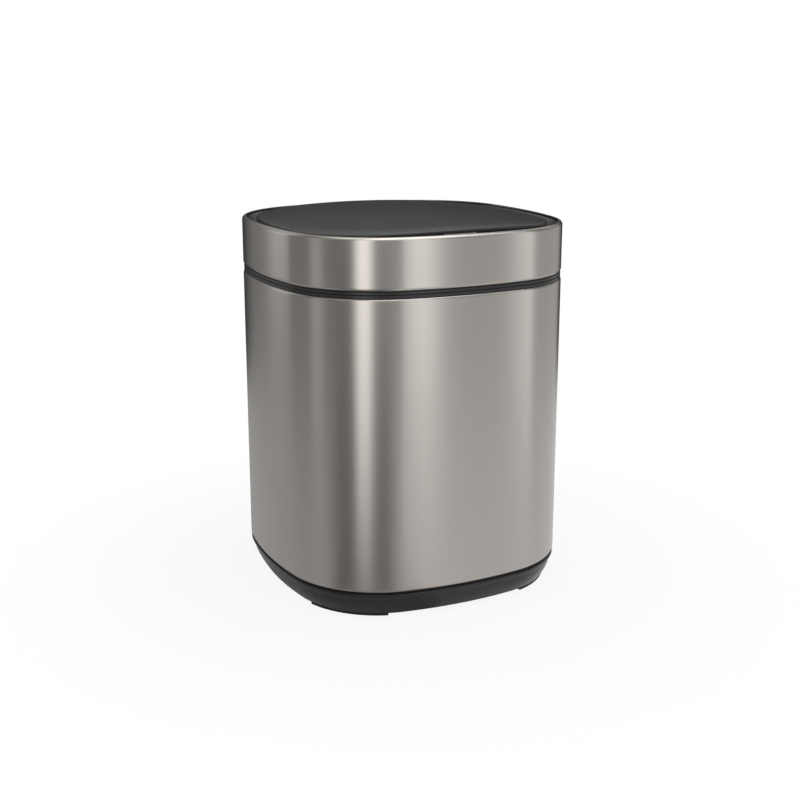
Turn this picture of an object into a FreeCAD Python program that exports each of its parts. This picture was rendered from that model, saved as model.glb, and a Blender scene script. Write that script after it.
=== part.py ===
import FreeCAD, Part
import math
import os

# A touch-top waste bin: a bowed square steel body on a black base, a lift-off lid ring that carries
# a damped lid on a pin hinge and a push latch, and an inner bucket with a bail.
# Millimetres and degrees, +Z up, the front faces -Y, the origin is on the floor under the middle.

# Plan of the bin: a square with bowed sides and large round corners
half_width = 105.0
bow_radius = 267.0
corner_radius = 70.0

# Heights of the stack, from the floor up
foot_height = 1.8
skirt_height = 13.8
base_flange_height = 2.1
shadow_gap = 1.5
body_height = 200.3
collar_flange_height = 2.1
ring_seat_gap = 0.2
frame_flange_height = 2.1
band_height = 34.4
crown_height = 3.7

# Fits that every piece shares
fit_gap = 0.3
slip_gap = 0.1
running_gap = 0.05
edge_round = 0.5
cut_overrun = 5.0
weld_depth = 0.6
same_point = 0.000001

# Steel pressings with rolled edges
sheet = 0.8
body_roll = 2.0
body_lip = 4.6
band_roll = 2.4
band_lip = 3.2

# Snap hooks that hold the mouldings in the pressings, two on each side
hook_width = 14.0
hook_height = 4.0
hook_flat_share = 0.25
hook_reach_share = 0.6
hook_spread = 46.0
hooks_per_side = 2

# Base
base_wall = 2.4
skirt_toe = 7.0
skirt_toe_round = 0.8
skirt_shoulder = 2.6
skirt_shoulder_height = 7.2
skirt_shoulder_round = 20.0
skirt_neck = 1.8
base_flange_inset = 0.3
base_recess = 2.2
base_spigot_height = 10.8
base_floor_height = 6.2
base_floor = 2.4
base_rib = 1.8
base_rib_pitch = 45.0
base_rib_lift = 1.2
base_ribs_each_way = 3

# Feet under the corners
foot_span = 54.0
foot_width = 8.0
foot_shelf = 2.4
foot_toe_draft = 0.3
foot_peg_radius = 2.4
foot_peg_span = 30.0
foot_pegs = 2

# Collar on the body
collar_inset = 0.5
collar_wall = 1.9
collar_ledge_drop = 7.5
collar_ledge = 2.0
collar_ledge_reach = 3.2

# Inner bucket
bucket_wall = 1.8
bucket_flange = 1.6
bucket_taper = 6.0
bucket_floor = 2.2
bucket_foot_gap = 2.0
bucket_bottom_round = 12.0
bucket_floor_step = 24.0

# Bail of the bucket, lying on the flange, and its ears and grip
bail_radius = 1.5
bail_inset = 11.2
bail_lift = 2.4
bail_bend = 4.0
bail_end = 1.2
ear_thickness = 2.4
ear_radius = 3.2
ear_depth = 9.0
grip_length = 84.0
grip_width = 7.4
grip_height = 3.9
grip_round = 1.8

# Frame of the lid ring
frame_inset = 0.5
frame_wall = 2.2
frame_spigot_depth = 2.8
deck = 2.0
deck_edge_drop = 0.8
deck_drop = 5.3
deck_slope_run = 5.5
deck_slope_round = 2.5
deck_join = 6.0
mouth_inset = 24.0
mouth_corner = 12.0
chute_wall = 2.0
chute_depth = 13.0

# Pin hinge at the back
hinge_inset = 20.0
hinge_gap = 0.5
pin_radius = 1.5
pin_overhang = 1.2
pin_chamfer = 0.4
knuckle_wall = 1.7
snap_share = 0.86
hinge_ear_width = 7.0
hinge_bay = 21.5
hinge_side_gap = 1.0
arm_width = 12.0
arm_lift = 0.8
pocket_half_width = 68.0
pocket_reach = 19.0
pocket_depth = 20.5
pocket_wall = 2.5
ear_web_drop = 14.0

# Cover under the hinge pocket
cover_thickness = 2.0
cover_post_radius = 4.0
cover_post_height = 12.0

# Torsion spring on the pin
lid_wire_radius = 0.45
lid_coil_pitch = 1.5
lid_coil_turns = 6
lid_coil_play = 0.35
lid_coil_leg = 4.2

# Damper: a pinion in mesh with a sector on the lid
gear_module = 0.7
pinion_teeth = 12
sector_wheel_teeth = 36
tooth_top_share = 0.75
tooth_root_share = 1.0
pressure_angle = 20.0
gear_backlash = 0.24
gear_width = 4.5
gear_side_gap = 0.2
mesh_angle = 225.0
lid_open_angle = 80.0
sector_spare_teeth = 1
damper_radius = 6.0
damper_length = 8.0
damper_gap = 1.5
damper_lug = 1.6
damper_lug_pitch = 17.0
damper_lug_radius = 2.6
damper_bracket = 2.8
damper_shaft_radius = 1.2
damper_shaft_seat = 4.0

# Push latch under the front of the deck
latch_inset = 15.8
latch_width = 22.0
latch_depth = 11.0
latch_height = 26.0
latch_wall = 1.8
latch_floor = 1.6
latch_lug = 2.4
latch_lug_reach = 8.0
latch_boss_height = 4.0
latch_slot_gap = 1.0
plunger_floor_height = 9.0
plunger_floor = 3.7
plunger_cheek = 2.2
plunger_height = 12.5
press_travel = 2.2
latch_wire_radius = 0.4
latch_coil_radius = 2.6
latch_coil_turns = 4

# Lid: the crowned panel, its liner and its striker
panel_inset = 9.6
panel_end_draw = 2.0
panel_wall = 2.2
panel_rim = 3.0
panel_rim_width = 2.4
panel_edge_round = 1.6
crown_fall_across = 4.0
crown_fall_along = 1.2
liner_wall = 1.8
liner_gap = 2.5
liner_dip = 2.5
liner_round = 1.5
liner_screw_edge = 24.0
tongue_width = 8.0
tongue_thickness = 2.4
tongue_length = 13.5
striker_width = 24.0
striker_depth = 7.0
striker_flange = 2.4
striker_screw_pitch = 17.0

# Rubber stops in the deck
bumper_radius = 3.2
bumper_height = 2.3
bumper_stem_radius = 1.6
bumper_inset = 18.5

# Self-tapping screws with countersunk heads
screw_radius = 1.1
screw_head_radius = 2.2
screw_head = 1.1
screw_length = 5.0
boss_radius = 2.9

# Levels that follow from the stack
skirt_low = foot_height
base_flange_low = skirt_low + skirt_height
base_flange_top = base_flange_low + base_flange_height
body_low = base_flange_top + shadow_gap
body_top = body_low + body_height
collar_top = body_top + collar_flange_height
frame_low = collar_top + ring_seat_gap
band_low = frame_low + frame_flange_height
band_top = band_low + band_height
crown_top = band_top + crown_height
floor_low = skirt_low + base_floor_height
floor_top = floor_low + base_floor
ledge_top = body_top - collar_ledge_drop
bucket_low = floor_top + bucket_foot_gap
flange_top = ledge_top + bucket_flange
bail_level = flange_top + bail_lift
deck_top = band_top - deck_drop
deck_low = deck_top - deck
pocket_low = deck_low - pocket_depth

# Insets and places that follow from the fits
spigot_outer = body_lip + fit_gap
sleeve_inner = spigot_outer + collar_wall
bucket_rim = sleeve_inner + fit_gap
bucket_neck = sleeve_inner + collar_ledge_reach + fit_gap
frame_outer = band_lip + fit_gap
frame_inner = frame_outer + frame_wall
frame_spigot = sleeve_inner + fit_gap
deck_foot = frame_outer + deck_slope_run
pivot_y = half_width - hinge_inset
pocket_front = pivot_y - pocket_reach
mouth_rear = pocket_front - pocket_wall
knuckle_radius = pin_radius + knuckle_wall
knuckle_start = hinge_ear_width / 2 + hinge_bay
knuckle_end = knuckle_start + arm_width
side_ear_start = knuckle_end + hinge_side_gap
side_ear_end = side_ear_start + hinge_ear_width
pin_half = side_ear_end + pin_overhang
sector_start = knuckle_start - gear_width
damper_end = sector_start - damper_gap
damper_start = damper_end - damper_length
latch_y = latch_inset - half_width
panel_half = half_width - panel_inset

# The plan's arcs meet tangentially: side centres on the axes, corner centres on the diagonals
side_centre = half_width - bow_radius
corner_place = (side_centre + math.sqrt(2 * (bow_radius - corner_radius) ** 2 - side_centre ** 2)) / 2
side_half_angle = math.degrees(math.asin(corner_place / (bow_radius - corner_radius)))
corner_half_angle = 45.0 - side_half_angle

# Radii of the lid's crown, from its fall at the panel's edge
crown_radius_across = (panel_half ** 2 + crown_fall_across ** 2) / (2 * crown_fall_across)
crown_radius_along = (panel_half ** 2 + crown_fall_along ** 2) / (2 * crown_fall_along)

up = FreeCAD.Vector(0, 0, 1)
across = FreeCAD.Vector(1, 0, 0)
origin = FreeCAD.Vector(0, 0, 0)


def vector(x, y, z):
    return FreeCAD.Vector(x, y, z)


def fused(first, *others):
    """One solid out of touching solids, with split faces joined again."""
    if not others:
        return first
    return first.multiFuse(list(others)).removeSplitter().Solids[0]


def box(low, high):
    """A box between two corners."""
    size = vector(*high) - vector(*low)
    return Part.makeBox(size.x, size.y, size.z, vector(*low))


def rod(radius, start, end):
    """A round bar between two points."""
    along = vector(*end) - vector(*start)
    return Part.makeCylinder(radius, along.Length, vector(*start), along)


def rounded_face(points):
    """A face in the plane y = 0 through (x, z) or, for a rounded corner, (x, z, radius)."""
    corners = []
    for index, point in enumerate(points):
        here = vector(point[0], 0, point[1])
        if len(point) == 2:
            corners.append((here, None, here))
            continue
        before = points[index - 1]
        after = points[(index + 1) % len(points)]
        back = (vector(before[0], 0, before[1]) - here).normalize()
        ahead = (vector(after[0], 0, after[1]) - here).normalize()
        half = back.getAngle(ahead) / 2
        reach = point[2] / math.tan(half)
        sag = point[2] / math.sin(half) - point[2]
        middle = here + (back + ahead).normalize() * sag
        corners.append((here + back * reach, middle, here + ahead * reach))
    edges = []
    for (start, middle, end), (following, _, _) in zip(corners, corners[1:] + corners[:1]):
        if middle:
            edges.append(Part.Arc(start, middle, end).toShape())
        if end.distanceToPoint(following) > same_point:
            edges.append(Part.LineSegment(end, following).toShape())
    return Part.Face(Part.Wire(edges))


def turned(points, radius, centre, start, span):
    """A profile of (inset, z) points turned about an upright axis, from one bearing over a span."""
    return swung(plan_section(points, radius), centre, start, span)


def plan_section(points, radius):
    """A profile of (inset, z) points as a face beside an upright axis, at an arc's radius from it."""
    return rounded_face([(radius - point[0],) + tuple(point[1:]) for point in points])


def swung(face, centre, start, span):
    """A face beside an upright axis, swung about it from one bearing over a span."""
    solid = face.revolve(origin, up, span)
    solid.rotate(origin, up, start)
    solid.translate(centre)
    return solid


def side_axis(side):
    """The centre of one side's arc, and the bearing of its middle: 0 right, 1 back, 2 left, 3 front."""
    bearing = 90.0 * side
    facing = vector(math.cos(math.radians(bearing)), math.sin(math.radians(bearing)), 0)
    return facing * side_centre, bearing


def corner_axis(corner):
    """The centre of one corner's arc, and the bearing of its middle, from the back right on."""
    bearing = 45.0 + 90.0 * corner
    facing = vector(math.cos(math.radians(bearing)), math.sin(math.radians(bearing)), 0)
    return facing * (corner_place * math.sqrt(2)), bearing


def ring(points):
    """A profile of (inset, z) points carried round the whole plan."""
    pieces = []
    for centre, radius, first, last in plan_arcs(0.0):
        pieces.append(turned(points, radius, centre, first, last - first))
    return fused(*pieces)


def plan_arcs(draw):
    """The plan's arcs with its front and back drawn in: each a centre, a radius and two bearings."""
    reach = bow_radius - corner_radius
    end_centre = side_centre - draw
    run = math.hypot(side_centre, end_centre)
    lift = math.sqrt(reach ** 2 - run ** 2 / 4)
    corner_x = side_centre / 2 - end_centre / run * lift
    corner_y = end_centre / 2 - side_centre / run * lift
    side_half = math.degrees(math.asin(corner_y / reach))
    end_half = math.degrees(math.asin(corner_x / reach))
    return [
        (vector(side_centre, 0, 0), bow_radius, -side_half, side_half),
        (vector(corner_x, corner_y, 0), corner_radius, side_half, 90 - end_half),
        (vector(0, end_centre, 0), bow_radius, 90 - end_half, 90 + end_half),
        (vector(-corner_x, corner_y, 0), corner_radius, 90 + end_half, 180 - side_half),
        (vector(-side_centre, 0, 0), bow_radius, 180 - side_half, 180 + side_half),
        (vector(-corner_x, -corner_y, 0), corner_radius, 180 + side_half, 270 - end_half),
        (vector(0, -end_centre, 0), bow_radius, 270 - end_half, 270 + end_half),
        (vector(corner_x, -corner_y, 0), corner_radius, 270 + end_half, 360 - side_half),
    ]


def plan_face(inset, level, draw=0.0):
    """The plan, drawn in by an inset and at its ends by a further draw, as a flat face at one level."""
    edges = []
    for centre, radius, first, last in plan_arcs(draw):
        circle = Part.Circle(centre + up * level, up, radius - inset)
        edges.append(Part.ArcOfCircle(circle, math.radians(first), math.radians(last)).toShape())
    return Part.Face(Part.Wire(edges))


def plate(inset, low, top, draw=0.0):
    """A slab of the plan between two levels."""
    return plan_face(inset, low, draw).extrude(up * (top - low))


def hooks(lip, roll, level, heading):
    """Snap hooks that catch a rolled lip: their flat faces at the level, tapering along the heading."""
    root = lip + fit_gap
    tip = lip - (lip - roll) * hook_reach_share
    far = level + heading * hook_height
    near = level + heading * hook_height * hook_flat_share
    points = [(root + weld_depth, level), (tip, level), (tip, near), (root + weld_depth, far)]
    turn = math.degrees(hook_width / bow_radius)
    step = math.degrees(hook_spread / bow_radius)
    pieces = []
    for side in range(4):
        centre, bearing = side_axis(side)
        for place in range(hooks_per_side):
            offset = step * (place - (hooks_per_side - 1) / 2)
            pieces.append(turned(points, bow_radius, centre, bearing + offset - turn / 2, turn))
    return pieces


def pressing(low, top, roll, lip):
    """A sheet steel shell whose two edges roll inwards to a lip."""
    inner_roll = roll - sheet
    return ring([
        (lip, low), (0, low, roll), (0, top, roll), (lip, top), (lip, top - sheet),
        (sheet, top - sheet, inner_roll), (sheet, low + sheet, inner_roll), (lip, low + sheet),
    ])


def screw(head_point, direction, play=0.0):
    """A countersunk screw with its flat head at a point, or with some play the hole for it."""
    along = vector(*direction)
    start = vector(*head_point)
    head = Part.makeCone(screw_head_radius + play, screw_radius + play, screw_head, start, along)
    shank = Part.makeCylinder(screw_radius + play, screw_length, start, along)
    return head.fuse(shank).removeSplitter().Solids[0]


def screw_holes(points):
    """The holes for screws that go in from below, with their heads at the points."""
    return Part.makeCompound([screw(point, (0, 0, 1), slip_gap) for point in points])


def tangent_arc(start, corner, end):
    """The arc from start to end that touches the lines from both to the corner."""
    middle = (start + end) * 0.5
    half_chord = (end - start).Length / 2
    depth = (corner - middle).Length
    radius = half_chord * (corner - start).Length / depth
    sag = math.hypot(radius, (corner - start).Length) - radius
    return Part.Arc(start, corner + (middle - corner).normalize() * sag, end).toShape()


def biarc(start, heading, end, last_heading):
    """Two arcs that join two points with the given headings and meet without a kink."""
    chord = end - start
    both = heading + last_heading
    turn = 2 * (1 - heading.dot(last_heading))
    slope = chord.dot(both)
    reach = (math.sqrt(slope ** 2 + turn * chord.dot(chord)) - slope) / turn
    first = start + heading * reach
    second = end - last_heading * reach
    joint = (first + second) * 0.5
    return [tangent_arc(start, first, joint), tangent_arc(joint, second, end)]


def coil(name, radius, pitch, turns, wire, start_leg, end_leg):
    """A spring along +Z from z = 0, of biarcs half a turn long, with straight legs at its ends."""
    rise = pitch / (2 * math.pi * radius)
    flat = 1 / math.hypot(1, rise)
    steps = 2 * turns
    places = []
    headings = []
    for step in range(steps + 1):
        angle = math.pi * step
        places.append(vector(radius * math.cos(angle), radius * math.sin(angle), pitch * step / 2))
        headings.append(vector(-math.sin(angle), math.cos(angle), rise) * flat)
    edges = []
    if start_leg:
        edges.append(Part.LineSegment(places[0] - headings[0] * start_leg, places[0]).toShape())
    for step in range(steps):
        edges += biarc(places[step], headings[step], places[step + 1], headings[step + 1])
    if end_leg:
        edges.append(Part.LineSegment(places[-1], places[-1] + headings[-1] * end_leg).toShape())
    path = Part.Wire(edges)
    begin = path.OrderedVertexes[0].Point
    section = Part.Wire(Part.Circle(begin, headings[0], wire).toShape())
    tube = path.makePipeShell([section], True, False)
    gap = pitch * flat - 2 * wire
    print(name, "least gap between turns", round(gap, 3))
    return tube


def crown(drop):
    """A block whose top is the lid's crown, lowered by a drop."""
    reach = half_width + cut_overrun
    top = crown_top - drop
    edge_fall = crown_radius_across - math.sqrt(crown_radius_across ** 2 - reach ** 2)
    low = deck_low - pocket_depth - chute_depth
    left = vector(-reach, 0, top - edge_fall)
    right = vector(reach, 0, top - edge_fall)
    low_right = vector(reach, 0, low)
    low_left = vector(-reach, 0, low)
    edges = [
        Part.Arc(left, vector(0, 0, top), right).toShape(),
        Part.LineSegment(right, low_right).toShape(),
        Part.LineSegment(low_right, low_left).toShape(),
        Part.LineSegment(low_left, left).toShape(),
    ]
    axis = vector(0, 0, top - crown_radius_along)
    swing = math.degrees(math.asin(reach / (crown_radius_along - edge_fall - top + low)))
    face = Part.Face(Part.Wire(edges))
    face.rotate(axis, across, -swing)
    return face.revolve(axis, across, 2 * swing)


def crown_level(x, y, drop=0.0):
    """The height of the crown, lowered by a drop, over one place."""
    fall_across = crown_radius_across - math.sqrt(crown_radius_across ** 2 - x ** 2)
    fall_along = crown_radius_along - math.sqrt(crown_radius_along ** 2 - y ** 2)
    return crown_top - drop - fall_across - fall_along


def pivot_level():
    """The height of the hinge axis: its ears just clear the panel above them."""
    return crown_level(pin_half, pivot_y, panel_wall) - hinge_gap - knuckle_radius


pivot_z = pivot_level()


def hinge_point(radius, angle, x):
    """A point about the hinge axis: angle 0 is to the back, 90 is up."""
    turn = math.radians(angle)
    return vector(x, pivot_y + radius * math.cos(turn), pivot_z + radius * math.sin(turn))


def mouth_block(growth, low, top):
    """The mouth's outline, grown on all sides, between two levels."""
    rear = mouth_rear + growth
    block = plate(mouth_inset - growth, low, top)
    reach = half_width + cut_overrun
    block = block.common(box((-reach, -reach, low - cut_overrun), (reach, rear, top + cut_overrun)))
    corners = [
        edge for edge in block.Edges
        if abs(edge.Vertexes[0].Y - rear) + abs(edge.Vertexes[-1].Y - rear) < same_point
        and abs(edge.Vertexes[0].X - edge.Vertexes[-1].X) < same_point
    ]
    return block.makeFillet(mouth_corner + growth, corners)


def pocket_block(growth, low, top, back_inset):
    """The hinge pocket's outline, grown at the front and the sides, up to an inset at the back."""
    reach = pocket_half_width + growth
    block = box((-reach, pocket_front - growth, low), (reach, half_width + cut_overrun, top))
    return block.common(plate(back_inset, low, top))


def upright_web(points, start, end):
    """A flat web across X: an outline in (y, z), from one x to another."""
    corners = [vector(start, y, z) for y, z in points]
    face = Part.Face(Part.makePolygon(corners + corners[:1]))
    return face.extrude(across * (end - start))


def base_part():
    """The base: flange, skirt, floor, ribs, foot shelves and the spigot with its hooks."""
    spigot_inner = spigot_outer + base_wall
    spigot_top = body_low + base_spigot_height
    floor_edge = spigot_inner + base_wall
    shell = ring([
        (skirt_toe, skirt_low, skirt_toe_round),
        (skirt_shoulder, skirt_low + skirt_shoulder_height, skirt_shoulder_round),
        (skirt_neck, base_flange_low),
        (base_flange_inset, base_flange_low, edge_round),
        (base_flange_inset, base_flange_top, edge_round),
        (base_recess, base_flange_top), (base_recess, body_low),
        (spigot_outer, body_low), (spigot_outer, spigot_top),
        (spigot_inner, spigot_top), (spigot_inner, floor_top),
        (floor_edge, floor_top), (floor_edge, floor_low),
        (skirt_shoulder + base_wall, floor_low), (skirt_toe + base_wall, skirt_low),
    ])
    pieces = [plate(floor_edge - weld_depth, floor_low, floor_top)]
    pieces += hooks(body_lip, body_roll, body_low + sheet + slip_gap, 1)
    inside = plate(skirt_toe + base_wall - weld_depth, skirt_low + base_rib_lift, floor_low + weld_depth)
    for rib in range(base_ribs_each_way):
        place = base_rib_pitch * (rib - (base_ribs_each_way - 1) / 2)
        start = place - base_rib / 2
        end = place + base_rib / 2
        low = skirt_low + base_rib_lift
        high = floor_low + weld_depth
        pieces.append(box((start, -half_width, low), (end, half_width, high)).common(inside))
        pieces.append(box((-half_width, start, low), (half_width, end, high)).common(inside))
    shelf = [
        (skirt_toe + base_wall - weld_depth, skirt_low), (skirt_toe + foot_width + base_wall, skirt_low),
        (skirt_toe + foot_width + base_wall, skirt_low + foot_shelf),
        (skirt_toe + base_wall - weld_depth, skirt_low + foot_shelf),
    ]
    for corner in range(4):
        centre, bearing = corner_axis(corner)
        pieces.append(turned(shelf, corner_radius, centre, bearing - foot_span / 2, foot_span))
    solid = fused(shell, *pieces)
    for corner in range(4):
        for peg in foot_peg_points(corner):
            hole_top = skirt_low + foot_shelf + slip_gap
            solid = solid.cut(rod(foot_peg_radius + slip_gap, (peg.x, peg.y, 0), (peg.x, peg.y, hole_top)))
    return solid


def foot_peg_points(corner):
    """Where a foot's pegs stand, in the middle of its width."""
    centre, bearing = corner_axis(corner)
    radius = corner_radius - skirt_toe - base_wall - foot_width / 2
    points = []
    for peg in range(foot_pegs):
        angle = math.radians(bearing + foot_peg_span * (peg - (foot_pegs - 1) / 2))
        points.append(centre + vector(math.cos(angle), math.sin(angle), 0) * radius)
    return points


def foot_part(corner):
    """One foot: a pad that follows the corner's toe, with pegs up into the base."""
    pad = [
        (skirt_toe, skirt_low), (skirt_toe + foot_toe_draft, 0, edge_round),
        (skirt_toe + base_wall + foot_width - foot_toe_draft, 0, edge_round),
        (skirt_toe + base_wall + foot_width, skirt_low),
    ]
    centre, bearing = corner_axis(corner)
    solid = turned(pad, corner_radius, centre, bearing - foot_span / 2, foot_span)
    pegs = [
        rod(foot_peg_radius, (peg.x, peg.y, skirt_low - weld_depth), (peg.x, peg.y, skirt_low + foot_shelf))
        for peg in foot_peg_points(corner)
    ]
    return fused(solid, *pegs)


def collar_part():
    """The collar: a flange on the body's edge, a sleeve in its mouth and a ledge for the bucket."""
    ledge_low = ledge_top - collar_ledge
    ledge_inner = sleeve_inner + collar_ledge_reach
    shell = ring([
        (collar_inset, body_top, edge_round), (collar_inset, collar_top, edge_round),
        (sleeve_inner, collar_top), (sleeve_inner, ledge_top),
        (ledge_inner, ledge_top, edge_round), (ledge_inner, ledge_low),
        (spigot_outer, ledge_low), (spigot_outer, body_top),
    ])
    return fused(shell, *hooks(body_lip, body_roll, body_top - sheet - slip_gap, -1))


def bucket_part():
    """The bucket: a drawn-in wall on a round bottom, a flange and two ears for the bail."""
    floor_edge = bucket_neck + bucket_taper
    inner_floor = bucket_low + bucket_floor
    core = floor_edge + bucket_floor_step
    shell = ring([
        (bucket_rim, ledge_top), (bucket_rim, flange_top, edge_round),
        (bucket_neck + bucket_wall, flange_top, edge_round),
        (floor_edge + bucket_wall, inner_floor, bucket_bottom_round - bucket_wall),
        (core, inner_floor), (core, bucket_low),
        (floor_edge, bucket_low, bucket_bottom_round), (bucket_neck, ledge_top),
    ])
    pieces = [plate(core - weld_depth, bucket_low, inner_floor)]
    holes = []
    for hand in (-1, 1):
        outer = hand * (half_width - ear_outer_inset())
        inner = outer - hand * ear_thickness
        low, high = sorted((outer, inner))
        pieces.append(rod(ear_radius, (low, 0, bail_level), (high, 0, bail_level)))
        pieces.append(box((low, -ear_radius, flange_top - ear_depth), (high, ear_radius, bail_level)))
        eye_start = (low - cut_overrun, 0, bail_level)
        eye_end = (high + cut_overrun, 0, bail_level)
        holes.append(rod(bail_radius + slip_gap, eye_start, eye_end))
    return fused(shell, *pieces).cut(Part.makeCompound(holes))


def ear_outer_inset():
    """The inset of the ears' outer faces: they stand inside the bail's wire."""
    return bail_inset + bail_radius + fit_gap


def bail_part():
    """The bail: a wire that lies on the back of the flange, its ends bent in through the ears."""
    centre, _ = side_axis(0)
    reach = bow_radius - bail_inset
    bend_x = centre.x + math.sqrt((reach - bail_bend) ** 2 - bail_bend ** 2)
    touch = math.atan2(bail_bend, bend_x - centre.x)
    tip_x = half_width - ear_outer_inset() - ear_thickness - bail_end
    level = up * bail_level
    bend_centre = vector(bend_x, bail_bend, 0)
    middle = (touch - math.pi / 2) / 2
    edges = [
        Part.LineSegment(vector(tip_x, 0, bail_level), vector(bend_x, 0, bail_level)).toShape(),
        Part.Arc(
            vector(bend_x, 0, bail_level),
            bend_centre + vector(math.cos(middle), math.sin(middle), 0) * bail_bend + level,
            centre + vector(math.cos(touch), math.sin(touch), 0) * reach + level,
        ).toShape(),
        plan_arc(side_axis(0), reach, math.degrees(touch), side_half_angle),
        plan_arc(corner_axis(0), corner_radius - bail_inset, -corner_half_angle, corner_half_angle),
        plan_arc(side_axis(1), reach, -side_half_angle, 0),
    ]
    right = Part.Wire(edges)
    section = Part.Wire(Part.Circle(vector(tip_x, 0, bail_level), across, bail_radius).toShape())
    half = right.makePipeShell([section], True, False)
    return fused(half, half.mirror(origin, across))


def plan_arc(axis, radius, start, end):
    """An arc about one of the plan's axes, between two bearings from its middle, at the bail's level."""
    centre, bearing = axis
    circle = Part.Circle(centre + up * bail_level, up, radius)
    return Part.ArcOfCircle(circle, math.radians(bearing + start), math.radians(bearing + end)).toShape()


def along_back(section, length):
    """A section carried along the bail over the back's middle and, past its ends, round the corners."""
    back_half = math.radians(side_half_angle) * bow_radius
    half = length / 2
    turn = math.degrees(min(half, back_half) / bow_radius)
    centre, bearing = side_axis(1)
    solids = [swung(section(bow_radius), centre, bearing - turn, 2 * turn)]
    if half > back_half:
        rest = math.degrees((half - back_half) / corner_radius)
        for corner, first in ((0, bearing - turn - rest), (1, bearing + turn)):
            solids.append(swung(section(corner_radius), corner_axis(corner)[0], first, rest))
    return fused(*solids)


def grip_oval(radius):
    """The grip's flat oval section."""
    low = bail_inset - grip_width / 2
    high = bail_inset + grip_width / 2
    bottom = bail_level - grip_height / 2
    top = bail_level + grip_height / 2
    return plan_section([
        (low, bottom, grip_round), (low, top, grip_round),
        (high, top, grip_round), (high, bottom, grip_round),
    ], radius)


def grip_bore(radius):
    """The section of the grip's bore, round the wire."""
    middle = vector(radius - bail_inset, 0, bail_level)
    return Part.Face(Part.Wire(Part.Circle(middle, vector(0, 1, 0), bail_radius + slip_gap).toShape()))


def grip_part():
    """The grip: a flat oval sleeve on the middle of the bail."""
    return along_back(grip_oval, grip_length).cut(along_back(grip_bore, grip_length + 2 * cut_overrun))


def frame_part():
    """The lid ring's frame: flange, wall, dished deck, chute, hinge pocket with its ears, latch bosses."""
    spigot_low = frame_low - frame_spigot_depth
    spigot_inner = frame_spigot + frame_wall
    edge_top = band_top - deck_edge_drop
    deck_inner = deck_foot + deck_join
    shell = ring([
        (frame_inset, frame_low, edge_round), (frame_inset, band_low, edge_round),
        (frame_outer, band_low), (frame_outer, edge_top, edge_round),
        (deck_foot, deck_top, deck_slope_round), (deck_inner, deck_top), (deck_inner, deck_low),
        (deck_foot, deck_low), (frame_inner, deck_top), (frame_inner, band_low),
        (spigot_inner, band_low), (spigot_inner, spigot_low),
        (frame_spigot, spigot_low), (frame_spigot, frame_low),
    ])
    pieces = [plate(deck_inner - weld_depth, deck_low, deck_top)]
    pieces += hooks(band_lip, band_roll, band_low + sheet + slip_gap, 1)
    pieces.append(mouth_block(chute_wall, deck_low - chute_depth, deck_low + weld_depth))
    pieces.append(pocket_block(pocket_wall, pocket_low, deck_low + weld_depth, frame_inner - weld_depth))
    solid = fused(shell, *pieces)
    solid = solid.cut(mouth_block(0, deck_low - chute_depth - cut_overrun, deck_top + cut_overrun))
    solid = solid.cut(pocket_block(0, pocket_low - cut_overrun, band_top, frame_inner))
    fittings = hinge_ears() + cover_posts() + [damper_bracket_block()] + latch_bosses()
    solid = fused(solid, *fittings)
    holes = [pin_seat(start, end) for start, end in ear_stations()]
    holes += [screw(point, (0, 0, 1), slip_gap) for point in latch_screw_points() + cover_screw_points()]
    holes += [screw(point, (-1, 0, 0), slip_gap) for point in damper_screw_points()]
    holes.append(latch_slot())
    for x, y in bumper_points():
        below = (x, y, deck_low - cut_overrun)
        holes.append(rod(bumper_stem_radius + slip_gap, below, (x, y, deck_top + cut_overrun)))
    return solid.cut(Part.makeCompound(holes))


def ear_stations():
    """The stretches of the hinge axis that the frame's ears hold."""
    return [
        (-side_ear_end, -side_ear_start),
        (-hinge_ear_width / 2, hinge_ear_width / 2),
        (side_ear_start, side_ear_end),
    ]


def hinge_ears():
    """Webs from the pocket's front wall to the axis, each with a round eye."""
    root = pocket_front - weld_depth
    pieces = []
    for start, end in ear_stations():
        eye = rod(knuckle_radius, (start, pivot_y, pivot_z), (end, pivot_y, pivot_z))
        web = upright_web([
            (root, pivot_z - ear_web_drop), (root, deck_low), (pivot_y, pivot_z + pin_radius),
            (pivot_y + knuckle_radius * math.cos(math.radians(mesh_angle + 90)),
             pivot_z + knuckle_radius * math.sin(math.radians(mesh_angle + 90))),
        ], start, end)
        pieces.append(fused(eye, web))
    return pieces


def pin_seat(start, end):
    """The round seat of the pin in an ear, with the narrower snap slot above it."""
    half_slot = pin_radius * snap_share
    seat_start = (start - cut_overrun, pivot_y, pivot_z)
    seat_end = (end + cut_overrun, pivot_y, pivot_z)
    seat = rod(pin_radius + running_gap, seat_start, seat_end)
    slot_top = pivot_z + knuckle_radius + cut_overrun
    slot = box((start, pivot_y - half_slot, pivot_z), (end, pivot_y + half_slot, slot_top))
    return fused(seat, slot)


def cover_posts():
    """Posts in the pocket's corners that take the cover's screws."""
    return [
        rod(cover_post_radius, (x, y, pocket_low), (x, y, pocket_low + cover_post_height))
        for x, y in cover_post_places()
    ]


def cover_post_places():
    """The posts stand half into the pocket's side walls."""
    reach = pocket_half_width - cover_post_radius + weld_depth
    return [(-reach, pocket_front + cover_post_radius), (reach, pocket_front + cover_post_radius)]


def cover_screw_points():
    """Heads of the cover's screws, flush with its underside."""
    return [(x, y, pocket_low - cover_thickness) for x, y in cover_post_places()]


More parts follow.
